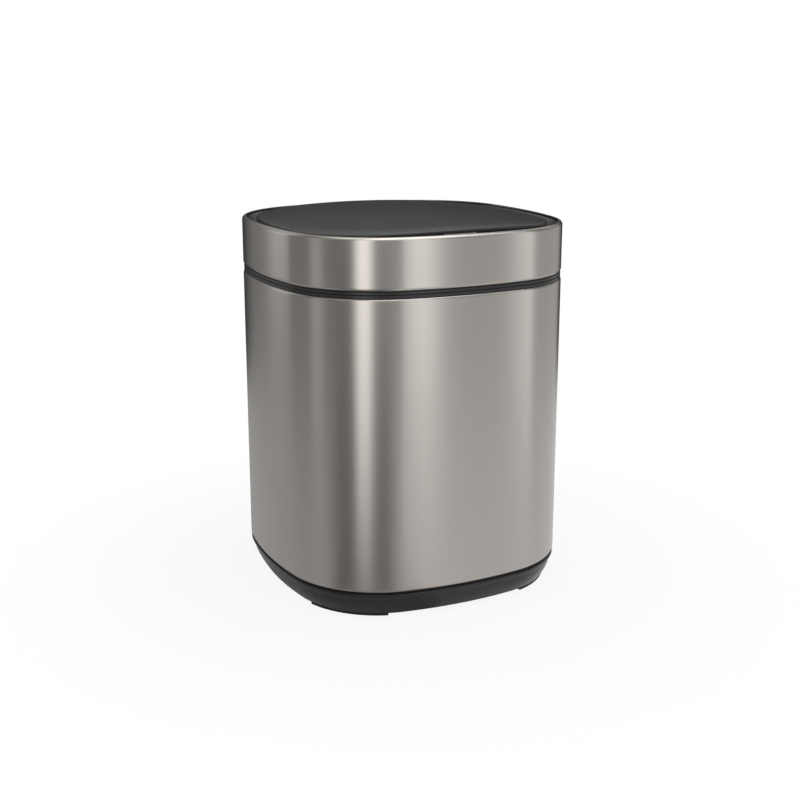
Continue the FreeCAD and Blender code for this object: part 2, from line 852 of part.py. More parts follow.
def cover_part():
    """The tray under the hinge pocket: a plate with a low rim inside the pocket's walls."""
    low = pocket_low - cover_thickness
    solid = pocket_block(pocket_wall, low, pocket_low, frame_inner + fit_gap)
    back = frame_inner + fit_gap
    over = pocket_low + cut_overrun
    rim = pocket_block(-fit_gap, pocket_low - weld_depth, pocket_low + cover_thickness, back)
    rim = rim.cut(pocket_block(-fit_gap - cover_thickness, pocket_low, over, back + cover_thickness))
    for x, y in cover_post_places():
        rim = rim.cut(rod(cover_post_radius + fit_gap, (x, y, pocket_low), (x, y, over)))
    for start, end in ear_stations():
        rim = rim.cut(box((start - fit_gap, pocket_front - cut_overrun, pocket_low),
                          (end + fit_gap, pocket_front + cut_overrun, pocket_low + cut_overrun)))
    bracket = box((damper_start - damper_bracket - fit_gap, pocket_front - cut_overrun, pocket_low),
                  (damper_start + fit_gap, pocket_front + cut_overrun, pocket_low + cut_overrun))
    rim = rim.cut(bracket)
    solid = fused(solid, rim)
    return solid.cut(screw_holes(cover_screw_points()))


def gear_centre_distance():
    """From the hinge axis to the pinion's axis."""
    return gear_module * (pinion_teeth + sector_wheel_teeth) / 2


def pinion_place():
    """The pinion's axis in (y, z)."""
    point = hinge_point(gear_centre_distance(), mesh_angle, 0)
    return point.y, point.z


def damper_bracket_block():
    """The plate on the pocket's front wall that carries the damper."""
    y, z = pinion_place()
    reach = damper_lug_pitch / 2 + damper_lug_radius
    return box((damper_start - damper_bracket, pocket_front - weld_depth, z - reach),
               (damper_start, y + damper_radius, min(z + reach, deck_top)))


def damper_lug_points():
    """Centres of the damper's two lugs in (y, z)."""
    y, z = pinion_place()
    return [(y, z - damper_lug_pitch / 2), (y, z + damper_lug_pitch / 2)]


def damper_screw_points():
    """Heads of the damper's screws, on the lugs."""
    return [(damper_start + damper_lug, y, z) for y, z in damper_lug_points()]


def damper_part():
    """The damper: a drum with two lugs and a bore for the pinion's shaft."""
    y, z = pinion_place()
    pieces = [rod(damper_radius, (damper_start, y, z), (damper_end, y, z))]
    lug_end = damper_start + damper_lug
    for lug_y, lug_z in damper_lug_points():
        pieces.append(rod(damper_lug_radius, (damper_start, lug_y, lug_z), (lug_end, lug_y, lug_z)))
    low, high = damper_lug_points()
    strap_low = (damper_start, y - damper_lug_radius, low[1])
    pieces.append(box(strap_low, (lug_end, y + damper_lug_radius, high[1])))
    solid = fused(*pieces)
    holes = [screw(point, (-1, 0, 0), slip_gap) for point in damper_screw_points()]
    seat_start = (damper_end - damper_shaft_seat, y, z)
    holes.append(rod(damper_shaft_radius + running_gap, seat_start, (damper_end + cut_overrun, y, z)))
    return solid.cut(Part.makeCompound(holes))


def tooth_edges(teeth, centre_angle, x, centre, clockwise_end):
    """One involute tooth about a centre, from the root before it to the root after it."""
    pitch_radius = gear_module * teeth / 2
    base_radius = pitch_radius * math.cos(math.radians(pressure_angle))
    tip_radius = pitch_radius + gear_module * tooth_top_share
    root_radius = pitch_radius - gear_module * tooth_root_share
    flank_start = max(base_radius, root_radius)
    half_thick = (math.pi * gear_module - gear_backlash) / 4 / pitch_radius

    def spread(radius):
        slope = math.acos(min(1.0, base_radius / radius))
        return math.tan(slope) - slope

    def point(radius, angle):
        return centre + vector(x, radius * math.cos(angle), radius * math.sin(angle))

    def flank_angle(radius):
        return half_thick + spread(pitch_radius) - spread(radius)

    middle = math.radians(centre_angle)
    radii = [flank_start, (flank_start + tip_radius) / 2, tip_radius]
    rising = [point(radius, middle - flank_angle(radius)) for radius in radii]
    falling = [point(radius, middle + flank_angle(radius)) for radius in reversed(radii)]
    edges = []
    root_in = point(root_radius, middle - flank_angle(flank_start))
    root_out = point(root_radius, middle + flank_angle(flank_start))
    if flank_start > root_radius:
        edges.append(Part.LineSegment(root_in, rising[0]).toShape())
    edges.append(Part.Arc(*rising).toShape())
    edges.append(Part.Arc(rising[-1], point(tip_radius, middle), falling[0]).toShape())
    edges.append(Part.Arc(*falling).toShape())
    if flank_start > root_radius:
        edges.append(Part.LineSegment(falling[-1], root_out).toShape())
    if clockwise_end:
        next_in = math.radians(centre_angle + 360.0 / teeth) - flank_angle(flank_start)
        between = (middle + flank_angle(flank_start) + next_in) / 2
        edges.append(Part.Arc(root_out, point(root_radius, between), point(root_radius, next_in)).toShape())
    return edges


def pinion_part():
    """The pinion, a tooth gap facing the hinge axis, with its shaft into the damper."""
    y, z = pinion_place()
    centre = vector(0, y, z)
    facing = mesh_angle - 180.0
    step = 360.0 / pinion_teeth
    start = sector_start + gear_side_gap
    end = knuckle_start - gear_side_gap
    edges = []
    for tooth in range(pinion_teeth):
        edges += tooth_edges(pinion_teeth, facing + step * (tooth + 0.5), start, centre, True)
    wheel = Part.Face(Part.Wire(edges)).extrude(across * (end - start))
    shaft = rod(damper_shaft_radius, (damper_end - damper_shaft_seat, y, z), (start + weld_depth, y, z))
    return fused(wheel, shaft)


def sector_block():
    """The toothed sector about the hinge axis: a tooth faces the pinion when the lid is shut."""
    step = 360.0 / sector_wheel_teeth
    count = math.ceil(lid_open_angle / step)
    centre = vector(0, pivot_y, pivot_z)
    first = -sector_spare_teeth
    last = count + sector_spare_teeth
    edges = []
    for tooth in range(first, last + 1):
        angle = mesh_angle + step * tooth
        edges += tooth_edges(sector_wheel_teeth, angle, sector_start, centre, tooth < last)
    path = Part.Wire(edges)
    start = path.OrderedVertexes[0].Point
    end = path.OrderedVertexes[-1].Point
    hub = vector(sector_start, pivot_y, pivot_z)
    outline = edges + [Part.LineSegment(end, hub).toShape(), Part.LineSegment(hub, start).toShape()]
    return Part.Face(Part.Wire(outline)).extrude(across * gear_width)


def pin_part():
    """The hinge pin with chamfered ends."""
    pin = rod(pin_radius, (-pin_half, pivot_y, pivot_z), (pin_half, pivot_y, pivot_z))
    rims = [edge for edge in pin.Edges if len(edge.Vertexes) == 1]
    return pin.makeChamfer(pin_chamfer, rims)


def lid_spring_part():
    """The torsion spring on the pin, between the middle ear and the left knuckle."""
    radius = pin_radius + lid_coil_play + lid_wire_radius
    legs = (lid_coil_leg, lid_coil_leg)
    spring = coil("lid_spring", radius, lid_coil_pitch, lid_coil_turns, lid_wire_radius, *legs)
    spring.rotate(origin, vector(0, 1, 0), 90)
    length = lid_coil_pitch * lid_coil_turns
    spring.translate(vector(-(hinge_ear_width / 2 + knuckle_start + length) / 2, pivot_y, pivot_z))
    return spring


def latch_box(inner_gap, low, top):
    """The latch's cavity, drawn in by a gap, between two levels."""
    half_x = latch_width / 2 - latch_wall - inner_gap
    half_y = latch_depth / 2 - latch_wall - inner_gap
    return box((-half_x, latch_y - half_y, low), (half_x, latch_y + half_y, top))


def latch_low():
    """The underside of the latch."""
    return deck_low - latch_height


def plunger_low():
    """The underside of the plunger at rest."""
    return latch_low() + latch_floor + plunger_floor_height


def latch_lug_places():
    """Centres of the latch's two lugs."""
    return [(hand * (latch_width + latch_lug_reach) / 2, latch_y) for hand in (-1, 1)]


def latch_screw_points():
    """Heads of the latch's screws, flush with its lugs."""
    return [(x, y, deck_low - latch_boss_height - latch_lug) for x, y in latch_lug_places()]


def latch_bosses():
    """Bosses under the deck that take the latch's screws."""
    return [
        rod(boss_radius, (x, y, deck_low - latch_boss_height), (x, y, deck_low + weld_depth))
        for x, y in latch_lug_places()
    ]


def latch_slot():
    """The slot in the deck that the striker's tongue goes through."""
    half_x = tongue_width / 2 + latch_slot_gap
    half_y = tongue_thickness / 2 + latch_slot_gap
    low = deck_low - cut_overrun
    top = deck_top + cut_overrun
    return box((-half_x, latch_y - half_y, low), (half_x, latch_y + half_y, top))


def latch_housing_part():
    """The latch's housing: an open-topped box under the deck with two lugs."""
    low = latch_low()
    half_y = latch_depth / 2
    solid = box((-latch_width / 2, latch_y - half_y, low), (latch_width / 2, latch_y + half_y, deck_low))
    lug_top = deck_low - latch_boss_height
    reach = latch_width / 2 + latch_lug_reach
    lug_low = (-reach, latch_y - boss_radius, lug_top - latch_lug)
    lugs = box(lug_low, (reach, latch_y + boss_radius, lug_top))
    solid = fused(solid, lugs).cut(latch_box(0, low + latch_floor, deck_low + cut_overrun))
    return solid.cut(screw_holes(latch_screw_points()))


def plunger_part():
    """The plunger: a block that slides in the housing, with a cheek on each side of the tongue."""
    low = plunger_low()
    solid = latch_box(fit_gap, low, low + plunger_height)
    half_x = latch_width / 2 - latch_wall - fit_gap - plunger_cheek
    top = low + plunger_height + cut_overrun
    throat_low = (-half_x, latch_y - latch_depth, low + plunger_floor)
    throat = box(throat_low, (half_x, latch_y + latch_depth, top))
    return solid.cut(throat)


def latch_spring_part():
    """The compression spring between the housing's floor and the plunger."""
    room = plunger_floor_height - 2 * latch_wire_radius - 2 * slip_gap
    pitch = room / latch_coil_turns
    spring = coil("latch_spring", latch_coil_radius, pitch, latch_coil_turns, latch_wire_radius, 0, 0)
    spring.translate(vector(0, latch_y, latch_low() + latch_floor + latch_wire_radius + slip_gap))
    return spring


def bumper_points():
    """Where the stops stand: on the front corners of the deck."""
    places = []
    for corner in (2, 3):
        centre, bearing = corner_axis(corner)
        angle = math.radians(bearing)
        point = centre + vector(math.cos(angle), math.sin(angle), 0) * (corner_radius - bumper_inset)
        places.append((point.x, point.y))
    return places


def bumpers_part():
    """Two rubber stops, each a round cap on a stem through the deck."""
    solids = []
    for x, y in bumper_points():
        cap = rod(bumper_radius, (x, y, deck_top), (x, y, deck_top + bumper_height))
        rim = [edge for edge in cap.Edges if edge.BoundBox.ZMin > deck_top + same_point]
        cap = cap.makeFillet(edge_round, rim)
        stem = rod(bumper_stem_radius, (x, y, deck_low), (x, y, deck_top + weld_depth))
        solids.append(fused(cap, stem))
    return Part.makeCompound(solids)


def panel_block(extra_inset, low):
    """The lid panel's outline, drawn in further by an inset, from one level to above the crown."""
    return plate(panel_inset + extra_inset, low, crown_top + cut_overrun, panel_end_draw)


def panel_part():
    """The lid panel: a crowned shell with a rounded edge, a shallow rim and bosses underneath."""
    low = deck_low
    slab = panel_block(0, low).common(crown(0))
    edge = [
        edge for edge in slab.Edges
        if edge.BoundBox.ZMin > band_top - crown_fall_across and edge.BoundBox.ZLength < crown_fall_across
    ]
    slab = slab.makeFillet(panel_edge_round, edge)
    slab = slab.cut(crown(panel_rim))
    slab = slab.cut(panel_block(panel_rim_width, low).common(crown(panel_wall)))
    under = crown(panel_wall - weld_depth)
    bosses = []
    for x, y in liner_screw_places():
        bosses.append(rod(boss_radius, (x, y, liner_low() + liner_wall), (x, y, crown_top)).common(under))
    for x, y in striker_screw_places():
        foot = (x, y, striker_low() + striker_flange)
        bosses.append(rod(boss_radius, foot, (x, y, crown_top)).common(under))
    solid = fused(slab, *bosses)
    return solid.cut(screw_holes(liner_screw_points() + striker_screw_points()))


def liner_low():
    """The underside of the liner, a little below the deck."""
    return deck_top - liner_dip


def liner_screw_places():
    """The liner's screws, in from its sides and ends."""
    side = half_width - mouth_inset - liner_gap - liner_screw_edge
    return [(x, y) for x in (-side, side) for y in (-side, mouth_rear - liner_gap - liner_screw_edge)]


def liner_screw_points():
    """Heads of the liner's screws, flush with its underside."""
    return [(x, y, liner_low()) for x, y in liner_screw_places()]


def liner_part():
    """The liner: a tray in the mouth under the panel, two hinge arms with knuckles and the sector."""
    low = liner_low()
    tray = mouth_block(-liner_gap, low, crown_top)
    rim = [edge for edge in tray.Edges if edge.BoundBox.ZMax < low + same_point]
    tray = tray.makeFillet(liner_round, rim)
    tray = tray.cut(mouth_block(-liner_gap - liner_wall, low + liner_wall, crown_top + cut_overrun))
    arms = []
    root = mouth_rear - liner_gap - liner_wall
    for start, end in ((-knuckle_end, -knuckle_start), (knuckle_start, knuckle_end)):
        arms.append(box((start, root, deck_top + arm_lift), (end, pivot_y, crown_top)))
        arms.append(rod(knuckle_radius, (start, pivot_y, pivot_z), (end, pivot_y, pivot_z)))
    solid = fused(tray, *arms).common(crown(panel_wall))
    hub_end = (knuckle_start + weld_depth, pivot_y, pivot_z)
    hub = rod(knuckle_radius, (sector_start, pivot_y, pivot_z), hub_end)
    solid = fused(solid, hub, sector_block())
    bore = rod(pin_radius + running_gap, (-pin_half, pivot_y, pivot_z), (pin_half, pivot_y, pivot_z))
    holes = [screw(point, (0, 0, 1), slip_gap) for point in liner_screw_points()]
    return solid.cut(Part.makeCompound(holes + [bore]))


def striker_low():
    """The underside of the striker's flange: the lid can be pressed before it meets the deck."""
    return deck_top + press_travel


def striker_screw_places():
    """The striker's two screws, on both sides of the tongue."""
    return [(-striker_screw_pitch / 2, latch_y), (striker_screw_pitch / 2, latch_y)]


def striker_screw_points():
    """Heads of the striker's screws, flush with its underside."""
    return [(x, y, striker_low()) for x, y in striker_screw_places()]


def striker_part():
    """The striker: a flange under the panel's front with a tongue down into the latch."""
    low = striker_low()
    half_y = striker_depth / 2
    half_x = striker_width / 2
    flange = box((-half_x, latch_y - half_y, low), (half_x, latch_y + half_y, low + striker_flange))
    half_tongue = tongue_thickness / 2
    tongue = box((-tongue_width / 2, latch_y - half_tongue, low - tongue_length),
                 (tongue_width / 2, latch_y + half_tongue, low + weld_depth))
    tip = [edge for edge in tongue.Edges if edge.BoundBox.ZMax < low - tongue_length + same_point]
    tongue = tongue.makeChamfer(edge_round, tip)
    solid = fused(flange, tongue)
    return solid.cut(screw_holes(striker_screw_points()))


def screw_group(points, direction):
    """Separate screws with their heads at the points."""
    return Part.makeCompound([screw(point, direction) for point in points])


def parts():
    """Every piece of the bin under its node's name."""
    corner_names = ["foot_rear_right", "foot_rear_left", "foot_front_left", "foot_front_right"]
    pieces = {name: foot_part(corner) for corner, name in enumerate(corner_names)}
    pieces["base"] = base_part()
    pieces["body_shell"] = pressing(body_low, body_top, body_roll, body_lip)
    pieces["body_collar"] = collar_part()
    pieces["bucket"] = bucket_part()
    pieces["bucket_bail"] = bail_part()
    pieces["bail_grip"] = grip_part()
    pieces["lid_frame"] = frame_part()
    pieces["lid_band"] = pressing(band_low, band_top, band_roll, band_lip)
    pieces["hinge_pin"] = pin_part()
    pieces["lid_spring"] = lid_spring_part()
    pieces["hinge_cover"] = cover_part()
    pieces["cover_screws"] = screw_group(cover_screw_points(), (0, 0, 1))
    pieces["damper_body"] = damper_part()
    pieces["damper_gear"] = pinion_part()
    pieces["damper_screws"] = screw_group(damper_screw_points(), (-1, 0, 0))
    pieces["latch_housing"] = latch_housing_part()
    pieces["latch_plunger"] = plunger_part()
    pieces["latch_spring"] = latch_spring_part()
    pieces["latch_screws"] = screw_group(latch_screw_points(), (0, 0, 1))
    pieces["lid_bumpers"] = bumpers_part()
    pieces["lid_panel"] = panel_part()
    pieces["lid_liner"] = liner_part()
    pieces["lid_screws"] = screw_group(liner_screw_points(), (0, 0, 1))
    pieces["lid_striker"] = striker_part()
    pieces["striker_screws"] = screw_group(striker_screw_points(), (0, 0, 1))
    return pieces


os.makedirs("parts", exist_ok=True)
for node, shape in parts().items():
    shape.exportStep("parts/" + node + ".step")
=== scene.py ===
"""Dresses a packed touch-top waste bin: brushed steel pressings, black mouldings and the works of its lid.

Lengths are in metres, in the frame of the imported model. Every piece rides on the body that carries it, and
stands for the solid that it takes its place from.
"""

import logging
import math
from dataclasses import asdict, dataclass
from enum import Enum
from typing import Any, Optional, Sequence

import bmesh
import bpy
from bmesh.types import BMesh, BMVert
from bpy.types import Material, Mesh, Node, NodeSocket, NodeTree, Object
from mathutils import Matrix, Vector


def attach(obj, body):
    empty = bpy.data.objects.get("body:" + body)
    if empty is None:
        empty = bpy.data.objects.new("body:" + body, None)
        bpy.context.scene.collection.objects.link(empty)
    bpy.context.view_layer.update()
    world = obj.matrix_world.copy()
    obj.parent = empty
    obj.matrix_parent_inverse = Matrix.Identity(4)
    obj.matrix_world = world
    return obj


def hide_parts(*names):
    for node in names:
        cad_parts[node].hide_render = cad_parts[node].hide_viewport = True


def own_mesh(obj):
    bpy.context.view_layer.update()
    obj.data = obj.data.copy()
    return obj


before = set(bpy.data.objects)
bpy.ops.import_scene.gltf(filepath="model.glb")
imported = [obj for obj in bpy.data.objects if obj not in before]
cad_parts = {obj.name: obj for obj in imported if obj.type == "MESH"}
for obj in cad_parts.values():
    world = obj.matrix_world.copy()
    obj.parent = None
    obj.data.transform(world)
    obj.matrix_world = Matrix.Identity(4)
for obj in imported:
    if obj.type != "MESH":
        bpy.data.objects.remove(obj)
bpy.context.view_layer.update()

LOG = logging.getLogger("waste_bin")
PHOTO_WIDTH = 800.0
SENSOR_WIDTH = 36.0
MERGE_DISTANCE = 1e-6
MOULDED_EDGE = 35.0
PRESSED_EDGE = 50.0
WIRE_EDGE = 45.0
SCREW_EDGE = 30.0
WHITE = (1.0, 1.0, 1.0, 1.0)
GEOMETRY = "NodeSocketGeometry"
SOCKET_TYPES = {float: "NodeSocketFloat", int: "NodeSocketInt", tuple: "NodeSocketVector"}
Socket = NodeSocket
Colour = tuple[float, float, float, float]
Corner = tuple[float, ...]
Pair = tuple[float, float]


class Slot(Enum):
    """The record's material slots."""

    STEEL = "steel"
    BLACK = "black_plastic"
    INNER = "inner_plastic"
    BUCKET = "bucket_plastic"
    GRIP = "grip_plastic"
    ACETAL = "acetal"
    RUBBER = "rubber"
    WIRE = "wire"
    SCREW = "screw"


class Body(Enum):
    """The bodies that pieces ride on."""

    BIN = "body"
    BUCKET = "bucket"
    BAIL = "bail"
    RING = "lid_ring"
    LID = "lid"
    GEAR = "damper_gear"
    PLUNGER = "latch_plunger"


class Nodes:
    """A node tree with short calls that add nodes and join them."""

    def __init__(self, tree: NodeTree) -> None:
        """Takes a tree and empties it."""
        self.tree = tree
        tree.nodes.clear()

    def feed(self, socket: Socket, value: Any) -> None:
        """Links an output to an input, or sets the input's own value.

        Args:
            socket: The input to fill.
            value: Another node's output, or a plain value.
        """
        if isinstance(value, Socket):
            self.tree.links.new(value, socket)
        else:
            socket.default_value = value

    def add(self, kind: str, feeds: Optional[dict[Any, Any]] = None, **settings: Any) -> Node:
        """Adds a node.

        Args:
            kind: The node's type name.
            feeds: Values or sockets for its inputs, by name or place.
            settings: Values for its own properties.

        Returns:
            The new node.
        """
        node = self.tree.nodes.new(kind)
        for name, value in settings.items():
            setattr(node, name, value)
        for key, value in (feeds or {}).items():
            self.feed(node.inputs[key], value)
        return node

    def out(self, kind: str, feeds: Optional[dict[Any, Any]] = None, **settings: Any) -> Socket:
        """Adds a node and returns its first output."""
        return self.add(kind, feeds, **settings).outputs[0]

    def math(self, operation: str, *values: Any) -> Socket:
        """Adds a Math node and returns its result."""
        return self.out("ShaderNodeMath", dict(enumerate(values)), operation=operation)

    def vector(self, operation: str, *values: Any) -> Any:
        """Adds a Vector Math node and returns its outputs."""
        return self.add("ShaderNodeVectorMath", dict(enumerate(values)), operation=operation).outputs

    def join(self, x: Any = 0.0, y: Any = 0.0, z: Any = 0.0) -> Socket:
        """Joins three numbers to a vector."""
        return self.out("ShaderNodeCombineXYZ", {"X": x, "Y": y, "Z": z})

    def spread(
        self, value: Any, start: Any, end: Any, low: Any = 0.0, high: Any = 1.0, smooth: bool = False,
    ) -> Socket:
        """Maps a value from one span to another, held at both ends.

        Args:
            value: What is mapped.
            start: The value that gives low.
            end: The value that gives high.
            low: The result at the start.
            high: The result at the end.
            smooth: Whether the change eases in and out.

        Returns:
            The mapped value.
        """
        feeds = {"Value": value, "From Min": start, "From Max": end, "To Min": low, "To Max": high}
        kind = "SMOOTHSTEP" if smooth else "LINEAR"
        return self.out("ShaderNodeMapRange", feeds, interpolation_type=kind)

    def blend(self, share: Any, first: Any, second: Any) -> Socket:
        """Mixes two colours and returns the result."""
        return self.add("ShaderNodeMix", {0: share, 6: first, 7: second}, data_type="RGBA").outputs[2]

    def place(self) -> Socket:
        """The place on the surface, in the piece's own frame."""
        return self.add("ShaderNodeTexCoord").outputs["Object"]

    def noise(self, place: Socket, scale: Any, detail: float, rough: float) -> Socket:
        """Adds a noise texture and returns its value."""
        feeds = {"Vector": place, "Scale": scale, "Detail": detail, "Roughness": rough}
        return self.out("ShaderNodeTexNoise", feeds)

    def bump(self, strength: float, depth: float, height: Socket) -> Socket:
        """Turns a height into a bumped normal."""
        return self.out("ShaderNodeBump", {"Strength": strength, "Distance": depth, "Height": height})

    def group(self, tree: NodeTree, values: dict[str, Any]) -> Any:
        """Places a shared group with its own values and returns its outputs."""
        return self.add("ShaderNodeGroup", values, node_tree=tree).outputs

    def end_surface(self, shader: Socket) -> None:
        """Ends a material's tree in a shader."""
        self.add("ShaderNodeOutputMaterial", {"Surface": shader})

    def end_shape(self, shape: Socket, finish: Socket) -> None:
        """Ends a shape's tree, with its instances made real and its material set.

        Args:
            shape: The shape.
            finish: The tree's own input for the material.
        """
        solid = self.out("GeometryNodeRealizeInstances", {0: shape})
        dressed = self.out("GeometryNodeSetMaterial", {"Geometry": solid, "Material": finish})
        self.add("NodeGroupOutput", {"Geometry": dressed})


def new_group(
    name: str, inputs: dict[str, Any], outputs: Sequence[str], shape: bool = False,
) -> tuple[Nodes, Any]:
    """Starts a node group with named sockets.

    Args:
        name: The group's name.
        inputs: Each input's first value, or the socket type of one that has none.
        outputs: The names of what it puts out.
        shape: Whether it makes a shape, and not numbers for a shader.

    Returns:
        The tree, and the sockets of what it is given.
    """
    tree = bpy.data.node_groups.new(name, "GeometryNodeTree" if shape else "ShaderNodeTree")
    for label, value in inputs.items():
        socket_type = SOCKET_TYPES.get(type(value), value)
        socket = tree.interface.new_socket(label, in_out="INPUT", socket_type=socket_type)
        if socket_type != value:
            socket.default_value = value
    for label in outputs:
        socket_type = GEOMETRY if shape else SOCKET_TYPES[float]
        tree.interface.new_socket(label, in_out="OUTPUT", socket_type=socket_type)
    nodes = Nodes(tree)
    return nodes, nodes.add("NodeGroupInput").outputs


def new_material(name: str) -> tuple[Material, Nodes]:
    """Starts a material.

    Args:
        name: The material's name.

    Returns:
        The material and its empty tree.
    """
    material = bpy.data.materials.new(name)
    material.use_nodes = True
    return material, Nodes(material.node_tree)


class Effects:
    """The surface effects that the finishes share, each a shader node group."""

    COARSE_SCALE = (0.6, 0.6, 0.23)
    FINE_SHARE = 0.8
    LINE_SPAN = (0.32, 0.68)
    TOUCH_SPAN = (0.38, 0.66)
    PIT_SHARE = 0.7
    DRIFT_SPAN = (0.3, 0.7)
    WORN_TURN = (0.98, 0.78)
    PATCH_SPAN = (0.42, 0.62)
    PATCH_LEAST = 0.15

    def __init__(self) -> None:
        """Builds every group once."""
        self.brushing = self._brushing()
        self.grain = self._grain()
        self.wear = self._wear()

    def _brushing(self) -> NodeTree:
        """Fine lines round the piece from a brushing belt, with broad soft bands where hands have been.

        Returns:
            The group.
        """
        inputs = {"Length": 9.0, "Fineness": 2600.0, "Touch": 14.0}
        nodes, given = new_group("brushing", inputs, ["Lines", "Touched"])
        place = nodes.place()
        scale = nodes.join(given["Length"], given["Length"], given["Fineness"])
        drawn = nodes.vector("MULTIPLY", place, scale)[0]
        coarse = nodes.vector("MULTIPLY", drawn, self.COARSE_SCALE)[0]
        fine_lines = nodes.noise(drawn, 1.0, detail=3.0, rough=0.6)
        broad_lines = nodes.noise(coarse, 1.0, detail=2.0, rough=0.5)
        fine_part = nodes.math("MULTIPLY", fine_lines, self.FINE_SHARE)
        lines = nodes.math("ADD", fine_part, nodes.math("MULTIPLY", broad_lines, 1 - self.FINE_SHARE))
        touched = nodes.noise(place, given["Touch"], detail=3.0, rough=0.55)
        nodes.add("NodeGroupOutput", {
            "Lines": nodes.spread(lines, *self.LINE_SPAN),
            "Touched": nodes.spread(touched, *self.TOUCH_SPAN, smooth=True),
        })
        return nodes.tree

    def _grain(self) -> NodeTree:
        """The fine spark-eroded grain of a mould, and slow changes of gloss over it.

        Returns:
            The group.
        """
        nodes, given = new_group("mould_grain", {"Fineness": 1500.0, "Drift": 18.0}, ["Height", "Drift"])
        place = nodes.place()
        feeds = {"Vector": place, "Scale": given["Fineness"]}
        cells = nodes.out("ShaderNodeTexVoronoi", feeds, feature="SMOOTH_F1")
        pits = nodes.noise(place, given["Fineness"], detail=2.0, rough=0.5)
        drift = nodes.noise(place, given["Drift"], detail=4.0, rough=0.6)
        nodes.add("NodeGroupOutput", {
            "Height": nodes.math("ADD", cells, nodes.math("MULTIPLY", pits, self.PIT_SHARE)),
            "Drift": nodes.spread(drift, *self.DRIFT_SPAN, smooth=True),
        })
        return nodes.tree

    def _wear(self) -> NodeTree:
        """Where an outer edge has been rubbed: from the turn of a rounded normal against the true one.

        Returns:
            The group.
        """
        nodes, given = new_group("edge_wear", {"Width": 0.0006, "Patches": 60.0}, ["Worn"])
        rounded = nodes.out("ShaderNodeBevel", {"Radius": given["Width"]}, samples=4)
        true_normal = nodes.add("ShaderNodeNewGeometry").outputs["Normal"]
        turn = nodes.vector("DOT_PRODUCT", rounded, true_normal)["Value"]
        patches = nodes.noise(nodes.place(), given["Patches"], detail=3.0, rough=0.6)
        rubbed = nodes.spread(patches, *self.PATCH_SPAN, low=self.PATCH_LEAST)
        worn = nodes.math("MULTIPLY", nodes.spread(turn, *self.WORN_TURN), rubbed)
        nodes.add("NodeGroupOutput", {"Worn": worn})
        return nodes.tree


class Finish:
    """A finish that makes its own material from the shared effects."""

    name: str

    def feeds(self, nodes: Nodes, effects: Effects) -> dict[str, Any]:
        """What the finish feeds its shader with."""
        raise NotImplementedError

    def material(self, effects: Effects) -> Material:
        """Builds the material round one shader.

        Args:
            effects: The shared groups.

        Returns:
            The material.
        """
        material, nodes = new_material(self.name)
        nodes.end_surface(nodes.out("ShaderNodeBsdfPrincipled", self.feeds(nodes, effects)))
        return material


@dataclass(frozen=True)
class SteelFinish(Finish):
    """Brushed stainless steel, its lines running round the piece."""

    name: str = "brushed_steel"
    dark: Colour = (0.433, 0.406, 0.380, 1.0)
    light: Colour = (0.463, 0.435, 0.407, 1.0)
    roughness: Pair = (0.285, 0.325)
    touched: float = 0.02
    stretch: float = 0.8
    stretch_turn: float = 0.25
    bump: float = 0.02
    depth: float = 0.00004

    def feeds(self, nodes: Nodes, effects: Effects) -> dict[str, Any]:
        """Feeds the shader with brushed lines and touched bands.

        Args:
            nodes: The material's tree.
            effects: The shared groups.

        Returns:
            The shader's inputs by name.
        """
        brushing = nodes.group(effects.brushing, {"Length": 9.0, "Fineness": 2600.0, "Touch": 14.0})
        lines = brushing["Lines"]
        rough = nodes.spread(lines, 0.0, 1.0, *self.roughness)
        touched = nodes.math("MULTIPLY", brushing["Touched"], self.touched)
        return {
            "Base Color": nodes.blend(lines, self.dark, self.light),
            "Roughness": nodes.math("ADD", rough, touched),
            "Normal": nodes.bump(self.bump, self.depth, lines),
            "Metallic": 1.0,
            "Anisotropic": self.stretch,
            "Anisotropic Rotation": self.stretch_turn,
            "Tangent": nodes.out("ShaderNodeTangent", direction_type="RADIAL", axis="Z"),
        }


@dataclass(frozen=True)
class MouldedFinish(Finish):
    """A moulded plastic or rubber with a fine grain and rubbed edges."""

    name: str
    colour: Colour
    worn: Colour
    roughness: Pair = (0.42, 0.54)
    fineness: float = 1500.0
    bump: float = 0.12
    depth: float = 0.00005
    wear: float = 0.5
    rubbed_gloss: float = 0.1
    shade: float = 0.86
    specular: float = 0.5

    def feeds(self, nodes: Nodes, effects: Effects) -> dict[str, Any]:
        """Feeds the shader with grain, drifting shade and worn edges.

        Args:
            nodes: The material's tree.
            effects: The shared groups.

        Returns:
            The shader's inputs by name.
        """
        grain = nodes.group(effects.grain, {"Fineness": self.fineness, "Drift": 18.0})
        wear = nodes.group(effects.wear, {"Width": 0.0006, "Patches": 60.0})
        worn = nodes.math("MULTIPLY", wear["Worn"], self.wear)
        darker = tuple(self.shade * part for part in self.colour[:3]) + (1.0,)
        colour = nodes.blend(grain["Drift"], darker, self.colour)
        rough = nodes.spread(grain["Drift"], 0.0, 1.0, *self.roughness)
        return {
            "Base Color": nodes.blend(worn, colour, self.worn),
            "Roughness": nodes.math("SUBTRACT", rough, nodes.math("MULTIPLY", worn, self.rubbed_gloss)),
            "Normal": nodes.bump(self.bump, self.depth, grain["Height"]),
            "Specular IOR Level": self.specular,
        }


